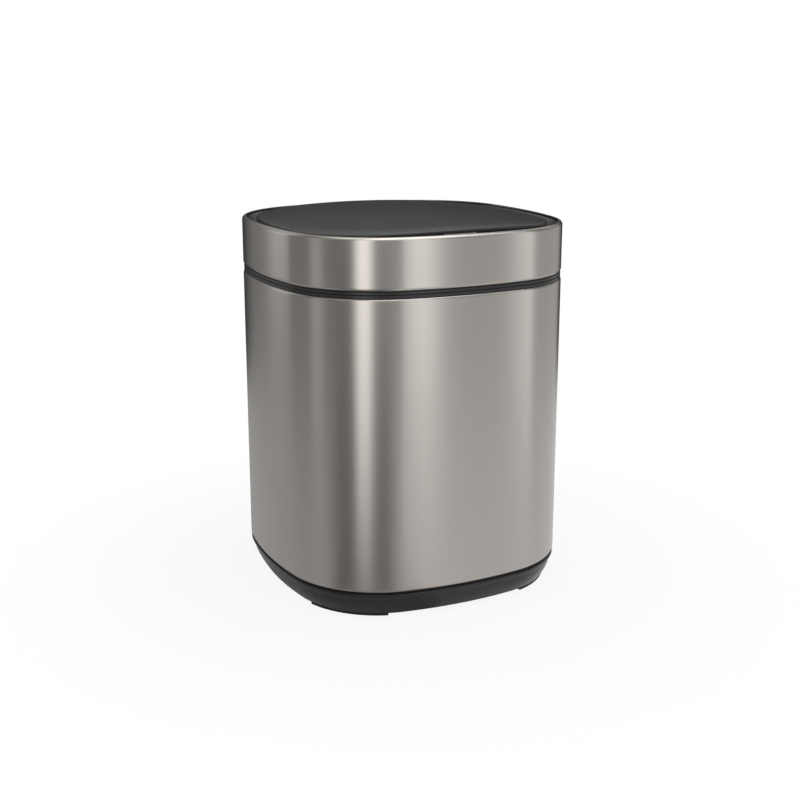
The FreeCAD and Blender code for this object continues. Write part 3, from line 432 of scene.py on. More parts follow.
@dataclass(frozen=True)
class WireFinish(Finish):
    """Bright zinc-plated steel for wire, pins and screws."""

    name: str
    dark: Colour
    light: Colour
    roughness: Pair = (0.4, 0.22)
    bump: float = 0.06
    depth: float = 0.00003

    def feeds(self, nodes: Nodes, effects: Effects) -> dict[str, Any]:
        """Feeds the shader with fine plating, smoother where it is lighter.

        Args:
            nodes: The material's tree.
            effects: The shared groups.

        Returns:
            The shader's inputs by name.
        """
        grain = nodes.group(effects.grain, {"Fineness": 2200.0, "Drift": 240.0})
        return {
            "Base Color": nodes.blend(grain["Drift"], self.dark, self.light),
            "Roughness": nodes.spread(grain["Drift"], 0.0, 1.0, *self.roughness),
            "Normal": nodes.bump(self.bump, self.depth, grain["Height"]),
            "Metallic": 1.0,
        }


FINISHES = {
    Slot.STEEL: SteelFinish(),
    Slot.BLACK: MouldedFinish(
        "black_moulding", (0.025, 0.025, 0.026, 1), (0.07, 0.07, 0.072, 1), (0.276, 0.292), bump=0.06,
        specular=0.32,
    ),
    Slot.INNER: MouldedFinish("inner_moulding", (0.045, 0.045, 0.047, 1), (0.1, 0.1, 0.1, 1), (0.5, 0.6)),
    Slot.BUCKET: MouldedFinish(
        "bucket_moulding", (0.085, 0.086, 0.09, 1), (0.16, 0.16, 0.165, 1), (0.38, 0.52), 1100.0, wear=0.4,
    ),
    Slot.GRIP: MouldedFinish("grip_moulding", (0.03, 0.03, 0.031, 1), (0.08, 0.08, 0.08, 1), (0.5, 0.62)),
    Slot.ACETAL: MouldedFinish(
        "white_acetal", (0.66, 0.65, 0.6, 1), (0.76, 0.75, 0.71, 1), (0.3, 0.4), 1900.0, bump=0.04, wear=0.3,
    ),
    Slot.RUBBER: MouldedFinish(
        "soft_rubber", (0.02, 0.02, 0.021, 1), (0.05, 0.05, 0.05, 1), (0.68, 0.82), 900.0, wear=0.6,
        specular=0.3,
    ),
    Slot.WIRE: WireFinish("plated_wire", (0.5, 0.5, 0.5, 1), (0.68, 0.68, 0.67, 1)),
    Slot.SCREW: WireFinish("plated_screw", (0.46, 0.46, 0.45, 1), (0.62, 0.62, 0.61, 1), (0.45, 0.25)),
}


@dataclass(frozen=True)
class Station:
    """One place on the plan: an arc's centre and radius, and the way out from it."""

    centre: Pair
    radius: float
    facing: Pair

    def point(self, inset: float) -> Pair:
        """The place, drawn in by an inset."""
        reach = self.radius - inset
        return self.centre[0] + reach * self.facing[0], self.centre[1] + reach * self.facing[1]


@dataclass(frozen=True)
class Plan:
    """The bin's plan: four bowed sides and four round corners that run into each other."""

    half_width: float = 0.105
    bow_radius: float = 0.267
    corner_radius: float = 0.070

    def stations(self, draw: float, steps: int) -> list[Station]:
        """Places round the plan, with its front and back drawn in.

        Args:
            draw: How far the two ends are drawn in.
            steps: How many places each arc has.

        Returns:
            The places, once round.
        """
        side = self.half_width - self.bow_radius
        end = side - draw
        reach = self.bow_radius - self.corner_radius
        run = math.hypot(side, end)
        lift = math.sqrt(reach ** 2 - run ** 2 / 4)
        corner_x = side / 2 - end / run * lift
        corner_y = end / 2 - side / run * lift
        side_half = math.asin(corner_y / reach)
        first = math.pi / 2 - math.asin(corner_x / reach)
        arcs = []
        for way, turn in ((1, 0.0), (-1, math.pi)):
            last = turn + math.pi
            arcs += [
                ((way * side, 0.0), self.bow_radius, turn - side_half, turn + side_half),
                ((way * corner_x, way * corner_y), self.corner_radius, turn + side_half, turn + first),
                ((0.0, way * end), self.bow_radius, turn + first, last - first),
                ((-way * corner_x, way * corner_y), self.corner_radius, last - first, last - side_half),
            ]
        places = []
        for centre, radius, start, stop in arcs:
            for step in range(steps):
                angle = start + (stop - start) * step / steps
                places.append(Station(centre, radius, (math.cos(angle), math.sin(angle))))
        return places


def rounded_profile(corners: Sequence[Corner], steps: int, hold: float) -> list[Pair]:
    """A closed outline with its corners rounded, and a point held close to each end of a straight run.

    Args:
        corners: Each corner's two coordinates and, for a rounded one, its radius.
        steps: How many parts an arc has.
        hold: How far from a straight run's end its extra point lies.

    Returns:
        The outline's points in order.
    """
    arcs = []
    for index, corner in enumerate(corners):
        here = Vector(corner[:2])
        if len(corner) == 2:
            arcs.append([here])
            continue
        back = (Vector(corners[index - 1][:2]) - here).normalized()
        ahead = (Vector(corners[(index + 1) % len(corners)][:2]) - here).normalized()
        half = back.angle(ahead) / 2
        middle = here + (back + ahead).normalized() * (corner[2] / math.sin(half))
        start = here + back * (corner[2] / math.tan(half)) - middle
        sweep = start.angle_signed(here + ahead * (corner[2] / math.tan(half)) - middle)
        points = []
        for step in range(steps + 1):
            turn = -sweep * step / steps
            cos, sin = math.cos(turn), math.sin(turn)
            points.append(middle + Vector((start.x * cos - start.y * sin, start.x * sin + start.y * cos)))
        arcs.append(points)
    outline = []
    for arc, following in zip(arcs, arcs[1:] + arcs[:1]):
        outline.extend(arc)
        run = following[0] - arc[-1]
        if run.length > 4 * hold:
            outline.append(arc[-1] + run.normalized() * hold)
            outline.append(following[0] - run.normalized() * hold)
    return [(point.x, point.y) for point in outline]


def new_object(name: str, data: Any) -> Object:
    """Links new object data into the scene.

    Args:
        name: The object's name.
        data: Its mesh, curve, lamp or camera.

    Returns:
        The object.
    """
    thing = bpy.data.objects.new(name, data)
    bpy.context.scene.collection.objects.link(thing)
    return thing


def mesh_of(form: BMesh, name: str) -> Mesh:
    """Turns a worked form into a mesh and lets the form go.

    Args:
        form: The form.
        name: The mesh's name.

    Returns:
        The mesh.
    """
    mesh = bpy.data.meshes.new(name)
    form.to_mesh(mesh)
    form.free()
    return mesh


def evaluated_mesh(
    name: str, host: Object, tree: NodeTree, values: dict[str, Any],
) -> Mesh:
    """Runs a Geometry Nodes tree on a host and keeps the result as a plain mesh.

    Args:
        name: The mesh's name.
        host: The object that carries the modifier, removed afterwards.
        tree: The tree.
        values: Its named inputs.

    Returns:
        The mesh.
    """
    modifier = host.modifiers.new(name, "NODES")
    modifier.node_group = tree
    for item in tree.interface.items_tree:
        if item.item_type == "SOCKET" and item.in_out == "INPUT" and item.name in values:
            modifier[item.identifier] = values[item.name]
    graph = bpy.context.evaluated_depsgraph_get()
    mesh = bpy.data.meshes.new_from_object(host.evaluated_get(graph))
    mesh.name = name
    host.modifiers.remove(modifier)
    bpy.data.objects.remove(host)
    return mesh


class RingSweep:
    """A Geometry Nodes tree that carries a profile once round the plan."""

    SIDE_POINTS = 33
    CORNER_POINTS = 49
    SEAM = 1e-5

    def __init__(self, plan: Plan) -> None:
        """Builds the tree with the plan's sizes as its inputs.

        Args:
            plan: The bin's plan.
        """
        self.sizes = {
            "Half width": plan.half_width, "Bow radius": plan.bow_radius, "Corner radius": plan.corner_radius,
            "Side points": self.SIDE_POINTS, "Corner points": self.CORNER_POINTS,
        }
        inputs = {"Profile": "NodeSocketObject", **self.sizes, "Finish": "NodeSocketMaterial"}
        nodes, given = new_group("ring_sweep", inputs, ["Geometry"], shape=True)
        side = nodes.math("SUBTRACT", given["Half width"], given["Bow radius"])
        reach = nodes.math("SUBTRACT", given["Bow radius"], given["Corner radius"])
        square = nodes.math("MULTIPLY", nodes.math("POWER", reach, 2.0), 2.0)
        root = nodes.math("SQRT", nodes.math("SUBTRACT", square, nodes.math("POWER", side, 2.0)))
        corner = nodes.math("MULTIPLY", nodes.math("ADD", side, root), 0.5)
        half = nodes.math("ARCSINE", nodes.math("DIVIDE", corner, reach))
        twice = nodes.math("MULTIPLY", half, 2.0)
        side_arc = nodes.out("GeometryNodeCurveArc", {
            "Resolution": given["Side points"], "Radius": given["Bow radius"],
            "Start Angle": nodes.math("MULTIPLY", half, -1.0), "Sweep Angle": twice,
        })
        corner_arc = nodes.out("GeometryNodeCurveArc", {
            "Resolution": given["Corner points"], "Radius": given["Corner radius"],
            "Start Angle": half, "Sweep Angle": nodes.math("SUBTRACT", math.pi / 2, twice),
        })
        quarter = nodes.add("GeometryNodeJoinGeometry")
        for arc, place in ((corner_arc, nodes.join(corner, corner)), (side_arc, nodes.join(side))):
            moved = nodes.out("GeometryNodeTransform", {0: arc, "Translation": place})
            nodes.feed(quarter.inputs[0], moved)
        turns = nodes.math("MULTIPLY", nodes.out("GeometryNodeInputIndex"), math.pi / 2)
        quarters = nodes.out("GeometryNodeInstanceOnPoints", {
            "Points": nodes.out("GeometryNodePoints", {"Count": 4}),
            "Instance": quarter.outputs[0], "Rotation": nodes.join(z=turns),
        })
        whole = nodes.out("GeometryNodeRealizeInstances", {0: quarters})
        line = nodes.out("GeometryNodeCurveToMesh", {"Curve": whole})
        closed = nodes.out("GeometryNodeMergeByDistance", {"Geometry": line, "Distance": self.SEAM})
        path = nodes.out("GeometryNodeMeshToCurve", {"Mesh": closed})
        upright = nodes.out("GeometryNodeSetCurveNormal", {"Curve": path}, mode="Z_UP")
        profile = nodes.add("GeometryNodeObjectInfo", {"Object": given["Profile"]}).outputs["Geometry"]
        skin = nodes.out("GeometryNodeCurveToMesh", {"Curve": upright, "Profile Curve": profile})
        nodes.end_shape(skin, given["Finish"])
        self.tree = nodes.tree

    def mesh(self, name: str, outline: Sequence[Pair], finish: Material) -> Mesh:
        """Carries one outline round the plan.

        Args:
            name: The mesh's name.
            outline: The profile's (inset, height) points.
            finish: The material.

        Returns:
            The swept mesh.
        """
        curve = bpy.data.curves.new(name + "_profile", "CURVE")
        curve.dimensions = "3D"
        spline = curve.splines.new("POLY")
        spline.points.add(len(outline) - 1)
        for point, (inset, height) in zip(spline.points, outline):
            point.co = (-inset, -height, 0.0, 1.0)
        spline.use_cyclic_u = True
        profile = new_object(name + "_profile", curve)
        host = new_object(name + "_host", bpy.data.meshes.new(name + "_host"))
        values = {"Profile": profile, **self.sizes, "Finish": finish}
        mesh = evaluated_mesh(name, host, self.tree, values)
        bpy.data.objects.remove(profile)
        return mesh


@dataclass(frozen=True)
class ScrewSizes:
    """A countersunk self-tapping screw with a cross recess."""

    head_radius: float = 0.0022
    shank_radius: float = 0.0011
    head_height: float = 0.0011
    length: float = 0.005
    recess_length: float = 0.0024
    recess_width: float = 0.0006
    recess_depth: float = 0.0008


class ScrewSetter:
    """A Geometry Nodes tree that sets screws at the places of a host's points."""

    HEAD_SIDES = 32
    SHANK_SIDES = 24

    def __init__(self, sizes: ScrewSizes) -> None:
        """Builds the tree with the screw's sizes as its inputs.

        Args:
            sizes: The screw's sizes.
        """
        self.sizes = {name.replace("_", " ").capitalize(): size for name, size in asdict(sizes).items()}
        inputs = {"Geometry": GEOMETRY, "Turn": (0.0, 0.0, 0.0), **self.sizes, "Finish": "NodeSocketMaterial"}
        nodes, given = new_group("screw_setter", inputs, ["Geometry"], shape=True)
        head = nodes.out("GeometryNodeMeshCone", {
            "Vertices": self.HEAD_SIDES, "Radius Top": given["Shank radius"],
            "Radius Bottom": given["Head radius"], "Depth": given["Head height"],
        })
        shank = nodes.out("GeometryNodeMeshCylinder", {
            "Vertices": self.SHANK_SIDES, "Radius": given["Shank radius"],
            "Depth": nodes.math("SUBTRACT", given["Length"], 2 * MERGE_DISTANCE),
        })
        lift = nodes.join(z=nodes.math("MULTIPLY", given["Length"], 0.5))
        seated = nodes.out("GeometryNodeTransform", {0: shank, "Translation": lift})
        whole = nodes.add("GeometryNodeMeshBoolean", operation="UNION", solver="EXACT")
        for part in (head, seated):
            nodes.feed(whole.inputs["Mesh 2"], part)
        feeds = {"Mesh 1": whole.outputs[0]}
        cut = nodes.add("GeometryNodeMeshBoolean", feeds, operation="DIFFERENCE", solver="EXACT")
        long, wide = given["Recess length"], given["Recess width"]
        depth = nodes.math("MULTIPLY", given["Recess depth"], 2.0)
        for x, y in ((long, wide), (wide, long)):
            slot = nodes.out("GeometryNodeMeshCube", {"Size": nodes.join(x, y, depth)})
            nodes.feed(cut.inputs["Mesh 2"], slot)
        screws = nodes.out("GeometryNodeInstanceOnPoints", {
            "Points": given["Geometry"], "Instance": cut.outputs[0], "Rotation": given["Turn"],
        })
        nodes.end_shape(screws, given["Finish"])
        self.tree = nodes.tree

    def mesh(
        self, name: str, places: Sequence[Vector], turn: Vector, finish: Material,
    ) -> Mesh:
        """Sets one screw at each place.

        Args:
            name: The mesh's name.
            places: The middles of the heads.
            turn: The turn from upright, as three angles.
            finish: The material.

        Returns:
            The screws as one mesh.
        """
        points = bpy.data.meshes.new(name + "_places")
        points.from_pydata([tuple(place) for place in places], [], [])
        host = new_object(name + "_host", points)
        return evaluated_mesh(name, host, self.tree, {"Turn": turn, **self.sizes, "Finish": finish})


def merged_copy(node: str) -> BMesh:
    """A copy of a solid's mesh with its loose triangles joined.

    Args:
        node: The solid's name.

    Returns:
        The joined copy.
    """
    form = bmesh.new()
    form.from_mesh(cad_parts[node].data)
    bmesh.ops.remove_doubles(form, verts=form.verts, dist=MERGE_DISTANCE)
    bmesh.ops.dissolve_degenerate(form, edges=form.edges, dist=MERGE_DISTANCE)
    return form


def islands(form: BMesh) -> list[list[Vector]]:
    """The points of each loose part of a mesh.

    Args:
        form: The mesh.

    Returns:
        One list of points for each part.
    """
    seen: set[int] = set()
    parts = []
    for start in form.verts:
        if start.index in seen:
            continue
        seen.add(start.index)
        waiting = [start]
        part = []
        while waiting:
            vert = waiting.pop()
            part.append(vert.co.copy())
            for edge in vert.link_edges:
                other = edge.other_vert(vert)
                if other.index not in seen:
                    seen.add(other.index)
                    waiting.append(other)
        parts.append(part)
    return parts


class Workshop:
    """Makes the finishes and puts each finished piece on its body."""

    def __init__(self) -> None:
        """Builds the shared effects and one material for each slot."""
        effects = Effects()
        self.finishes = {slot: finish.material(effects) for slot, finish in FINISHES.items()}
        self.plan = Plan()
        self.rings = RingSweep(self.plan)
        self.screws = ScrewSetter(ScrewSizes())

    def place(
        self, name: str, mesh: Mesh, body: Body, slot: Slot, sharp: float = MOULDED_EDGE,
    ) -> Object:
        """Puts a mesh on its body in the place of the solid of that name.

        Args:
            name: The solid that the piece stands for.
            mesh: The piece's mesh.
            body: The body that it rides on.
            slot: Its material slot.
            sharp: The turn in degrees from which an edge stays sharp.

        Returns:
            The piece.
        """
        if not mesh.materials:
            mesh.materials.append(self.finishes[slot])
        mesh.polygons.foreach_set("use_smooth", [True] * len(mesh.polygons))
        mesh.set_sharp_from_angle(angle=math.radians(sharp))
        piece = new_object(name + "_look", mesh)
        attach(piece, body.value)
        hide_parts(name)
        LOG.info("%s rides on %s with %d faces", piece.name, body.value, len(mesh.polygons))
        return piece

    def smooth_copy(
        self, node: str, body: Body, slot: Slot, sharp: float = MOULDED_EDGE,
    ) -> Object:
        """Places a joined and smoothly shaded copy of a solid."""
        return self.place(node, mesh_of(merged_copy(node), node + "_look"), body, slot, sharp)

    def screw_places(self, node: str, across: bool = False) -> list[Vector]:
        """Where the heads of a group's plain screws stand.

        Args:
            node: The group's name.
            across: Whether the heads face along X instead of down.

        Returns:
            The middle of each head's face.
        """
        form = merged_copy(node)
        places = []
        for part in islands(form):
            low = Vector([min(point[axis] for point in part) for axis in range(3)])
            high = Vector([max(point[axis] for point in part) for axis in range(3)])
            x, y, z = (low + high) / 2
            places.append(Vector((high.x, y, z)) if across else Vector((x, y, low.z)))
        form.free()
        return places

    def screw_group(self, node: str, body: Body, across: bool = False) -> Object:
        """Sets screws with cross recesses where a group's plain screws stand.

        Args:
            node: The group's name.
            body: The body that carries it.
            across: Whether the heads face along X instead of down.

        Returns:
            The screws.
        """
        turn = Vector((0.0, -math.pi / 2 if across else 0.0, 0.0))
        mesh = self.screws.mesh(node, self.screw_places(node, across), turn, self.finishes[Slot.SCREW])
        return self.place(node, mesh, body, Slot.SCREW, SCREW_EDGE)


@dataclass(frozen=True)
class Pressing:
    """A sheet steel shell whose two edges roll inwards to a lip."""

    name: str
    body: Body
    low: float
    top: float
    roll: float
    lip: float
    sheet: float = 0.0008
    steps: int = 10

    def build(self, shop: Workshop) -> Mesh:
        """Carries the shell's section round the plan.

        Args:
            shop: The workshop.

        Returns:
            The shell's mesh, its faces outwards.
        """
        inner = self.roll - self.sheet
        corners = [
            (self.lip, self.low), (0.0, self.low, self.roll),
            (0.0, self.top, self.roll), (self.lip, self.top),
            (self.lip, self.top - self.sheet), (self.sheet, self.top - self.sheet, inner),
            (self.sheet, self.low + self.sheet, inner), (self.lip, self.low + self.sheet),
        ]
        outline = rounded_profile(corners, self.steps, self.sheet / 2)
        mesh = shop.rings.mesh(self.name, outline, shop.finishes[Slot.STEEL])
        form = bmesh.new()
        form.from_mesh(mesh)
        bmesh.ops.recalc_face_normals(form, faces=form.faces)
        form.to_mesh(mesh)
        form.free()
        return mesh

    def dress(self, shop: Workshop) -> None:
        """Places the shell on its body."""
        shop.place(self.name, self.build(shop), self.body, Slot.STEEL, PRESSED_EDGE)


@dataclass
class Bin:
    """The standing part: steel body, black base, feet and collar."""

    shell: Pressing = Pressing("body_shell", Body.BIN, low=0.0192, top=0.2195, roll=0.002, lip=0.0046)
    feet: tuple[str, ...] = ("foot_front_left", "foot_front_right", "foot_rear_left", "foot_rear_right")

    def dress(self, shop: Workshop) -> None:
        """Places the shell, the base, the collar and the feet.

        Args:
            shop: The workshop.
        """
        self.shell.dress(shop)
        shop.smooth_copy("base", Body.BIN, Slot.BLACK)
        shop.smooth_copy("body_collar", Body.BIN, Slot.BLACK)
        for foot in self.feet:
            shop.smooth_copy(foot, Body.BIN, Slot.RUBBER)


@dataclass
class Bucket:
    """The lift-out bucket with its wire handle and grip."""

    def dress(self, shop: Workshop) -> None:
        """Places the bucket, the bail and its grip.

        Args:
            shop: The workshop.
        """
        shop.smooth_copy("bucket", Body.BUCKET, Slot.BUCKET)
        shop.smooth_copy("bucket_bail", Body.BAIL, Slot.WIRE)
        shop.smooth_copy("bail_grip", Body.BAIL, Slot.GRIP)


@dataclass
class LidRing:
    """The lift-off ring: steel band, black frame, hinge, damper and push latch."""

    band: Pressing = Pressing("lid_band", Body.RING, low=0.2239, top=0.2583, roll=0.0024, lip=0.0032)
    latch_travel: float = 0.002

    def dress(self, shop: Workshop) -> None:
        """Places the ring's pieces and the works of its hinge and latch.

        Args:
            shop: The workshop.
        """
        self.band.dress(shop)
        shop.smooth_copy("lid_frame", Body.RING, Slot.BLACK)
        for node in ("hinge_cover", "damper_body", "latch_housing"):
            shop.smooth_copy(node, Body.RING, Slot.INNER)
        for node in ("hinge_pin", "lid_spring"):
            shop.smooth_copy(node, Body.RING, Slot.WIRE, WIRE_EDGE)
        shop.smooth_copy("lid_bumpers", Body.RING, Slot.RUBBER)
        shop.smooth_copy("damper_gear", Body.GEAR, Slot.ACETAL)
        shop.smooth_copy("latch_plunger", Body.PLUNGER, Slot.ACETAL)
        shop.screw_group("cover_screws", Body.RING)
        shop.screw_group("latch_screws", Body.RING)
        shop.screw_group("damper_screws", Body.RING, across=True)
        self.press_spring(shop)

    def press_spring(self, shop: Workshop) -> None:
        """Places the latch's spring, which the plunger presses together, on a mesh of its own.

        Args:
            shop: The workshop.
        """
        spring = shop.smooth_copy("latch_spring", Body.RING, Slot.WIRE, WIRE_EDGE)
        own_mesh(spring)


@dataclass
class Lid:
    """The crowned lid with its liner and striker."""

    top: float = 0.262
    half: float = 0.0954
    inset: float = 0.0096
    end_draw: float = 0.002
    fall_across: float = 0.004
    fall_along: float = 0.0012
    edge_round: float = 0.0016
    edge_hold: float = 0.0002
    soft_width: float = 0.016
    soft_drop: float = 0.0006
    rim: float = 0.003
    rim_width: float = 0.0024
    rim_hold: float = 0.0004
    wall: float = 0.0022
    boss_radius: float = 0.0029
    boss_reach: float = 1.05
    boss_sides: int = 32
    bore_radius: float = 0.0011
    round_steps: int = 8
    soft_steps: int = 10
    steps: int = 14
    rings: int = 18

    def crown(self, x: float, y: float) -> float:
        """The height of the crown over one place.

        Args:
            x: The place across the lid.
            y: The place along it.

        Returns:
            The height.
        """
        across = (self.half ** 2 + self.fall_across ** 2) / (2 * self.fall_across)
        along = (self.half ** 2 + self.fall_along ** 2) / (2 * self.fall_along)
        fall = across - math.sqrt(across ** 2 - x ** 2)
        return self.top - fall - along + math.sqrt(along ** 2 - y ** 2)

    def softened(self, inset: float) -> float:
        """How far the crown eases down at an inset from the lid's edge."""
        return self.soft_drop * max(0.0, 1 - inset / self.soft_width) ** 2

    def section(self) -> list[Pair]:
        """The rim's section as (inset, drop below the crown), from the underside out and over the edge.

        Returns:
            The section's points.
        """
        points = [
            (self.rim_width + self.rim_hold, self.wall), (self.rim_width, self.wall),
            (self.rim_width, self.rim), (0.0, self.rim),
            (0.0, self.soft_drop + self.edge_round + self.edge_hold),
        ]
        for step in range(self.round_steps + 1):
            angle = math.pi / 2 * step / self.round_steps
            inset = self.edge_round * (1 - math.cos(angle))
            points.append((inset, self.softened(inset) + self.edge_round * (1 - math.sin(angle))))
        for step in range(1, self.soft_steps + 1):
            inset = self.edge_round + (self.soft_width - self.edge_round) * step / self.soft_steps
            points.append((inset, self.softened(inset)))
        return points

    def build(self, plan: Plan) -> BMesh:
        """Builds the crowned shell from its section and the crown's rule.

        Args:
            plan: The bin's plan.

        Returns:
            The closed shell.
        """
        stations = plan.stations(self.end_draw, self.steps)
        section = self.section()
        shares = [share / self.rings for share in range(1, self.rings)]
        levels = [(section[0][0], share, self.wall) for share in shares]
        levels += [(inset, 1.0, drop) for inset, drop in section]
        levels += [(section[-1][0], share, 0.0) for share in reversed(shares)]
        form = bmesh.new()
        rows = []
        for inset, share, drop in levels:
            points = [place.point(self.inset + inset) for place in stations]
            spots = [(x * share, y * share) for x, y in points]
            rows.append([form.verts.new((x, y, self.crown(x, y) - drop)) for x, y in spots])
        self._skin(form, rows)
        count = len(stations)
        for row, drop in ((rows[0], self.wall), (rows[-1], 0.0)):
            pole = form.verts.new((0.0, 0.0, self.crown(0.0, 0.0) - drop))
            for index in range(count):
                form.faces.new((row[index], row[(index + 1) % count], pole))
        bmesh.ops.recalc_face_normals(form, faces=form.faces)
        return form

    def _skin(self, form: BMesh, rows: Sequence[Sequence[BMVert]]) -> None:
        """Spans faces between rows of points that each go once round.

        Args:
            form: The form that the rows are in.
            rows: The rows in order.
        """
        for lower, upper in zip(rows, rows[1:]):
            for index in range(len(lower)):
                after = (index + 1) % len(lower)
                form.faces.new((lower[index], lower[after], upper[after], upper[index]))

    def add_bosses(self, form: BMesh, places: Sequence[Vector]) -> None:
        """Adds a bored boss over each screw, as long as the solid's own.

        Args:
            form: The panel's form.
            places: Where the screws stand.
        """
        solid = merged_copy("lid_panel")
        reach = self.boss_reach * self.boss_radius
        turns = [2 * math.pi * step / self.boss_sides for step in range(self.boss_sides)]
        for x, y, _ in places:
            foot = min(vert.co.z for vert in solid.verts if math.hypot(vert.co.x - x, vert.co.y - y) < reach)
            top = self.crown(x, y) - self.wall / 2
            rows = []
            for radius, ends in ((self.bore_radius, (top, foot)), (self.boss_radius, (foot, top))):
                spots = [(x + radius * math.cos(turn), y + radius * math.sin(turn)) for turn in turns]
                rows += [[form.verts.new((*spot, end)) for spot in spots] for end in ends]
            self._skin(form, rows + rows[:1])
        solid.free()
        bmesh.ops.recalc_face_normals(form, faces=form.faces)

    def dress(self, shop: Workshop) -> None:
        """Places the lid's pieces.

        Args:
            shop: The workshop.
        """
        form = self.build(shop.plan)
        self.add_bosses(form, shop.screw_places("lid_screws") + shop.screw_places("striker_screws"))
        shop.place("lid_panel", mesh_of(form, "lid_panel_look"), Body.LID, Slot.BLACK)
        shop.smooth_copy("lid_liner", Body.LID, Slot.INNER)
        shop.smooth_copy("lid_striker", Body.LID, Slot.ACETAL)
        shop.screw_group("lid_screws", Body.LID)
        shop.screw_group("striker_screws", Body.LID)


@dataclass(frozen=True)
class SoftBox:
    """A panel of light on the tent, or with a strength below zero a dark flag.

    Bearings and widths are in degrees. The ends and their fade are in metres, up the wall or out along the
    glowing floor sheet.
    """

    bearing: float
    half_width: float
    softness: float
    strength: float
    low: float = -2.0
    high: float = 3.0
    fade: float = 0.3


@dataclass(frozen=True)
class TentPart:
    """One surface of the light tent: its even level, its panels, and where it thins out to nothing.

    An upright part lights the bin, with its panels ending at heights. The others are only mirrored in it.
    """

    name: str
    level: float
    boxes: tuple[SoftBox, ...]
    upright: bool = False
    thin: Pair = (4.0, 5.0)


TENT_WALL = TentPart("tent_wall", 0.27, (
    SoftBox(330.0, 45.0, 20.0, 0.33, high=0.35),
    SoftBox(129.0, 3.0, 6.0, 0.92, low=0.1, fade=0.15),
    SoftBox(179.0, 4.0, 7.0, 0.37),
    SoftBox(231.5, 4.5, 8.0, 1.95),
    SoftBox(259.0, 13.0, 8.0, 0.22),
    SoftBox(280.0, 1.5, 6.5, 1.5),
    SoftBox(322.0, 6.0, 5.0, 0.75),
    SoftBox(65.0, 30.0, 12.0, -0.25, high=0.5, fade=0.2),
    SoftBox(65.0, 40.0, 20.0, 0.5, low=0.95, fade=0.2),
), upright=True)
# A glowing sheet seen only in the steel's reflections: a painted floor reflection, lighter to one side, with
# painted dark bands and a painted bright strip.
PAINTED_FLOOR_REFLECTION = TentPart("tent_cloth", 0.52, (
    SoftBox(350.0, 84.0, 12.0, 0.33),
    SoftBox(228.0, 19.0, 12.0, -0.32, low=0.26, fade=0.06),
    SoftBox(231.0, 14.0, 8.0, -0.37, low=0.17, high=0.2, fade=0.06),
    SoftBox(257.0, 5.0, 9.0, -0.24, low=0.5, fade=0.3),
    SoftBox(230.5, 3.0, 6.5, 1.04, low=0.62, fade=0.5),
    # Painted shade under the bin: the base's skirt mirrors darkness beneath it.
    SoftBox(0.0, 180.0, 1.0, -0.42, high=0.085, fade=0.035),
), thin=(0.52, 0.8))
TENT_ROOF = TentPart("tent_roof", 0.3, (
    SoftBox(0.0, 180.0, 1.0, 1.6, high=0.5, fade=0.4),
))


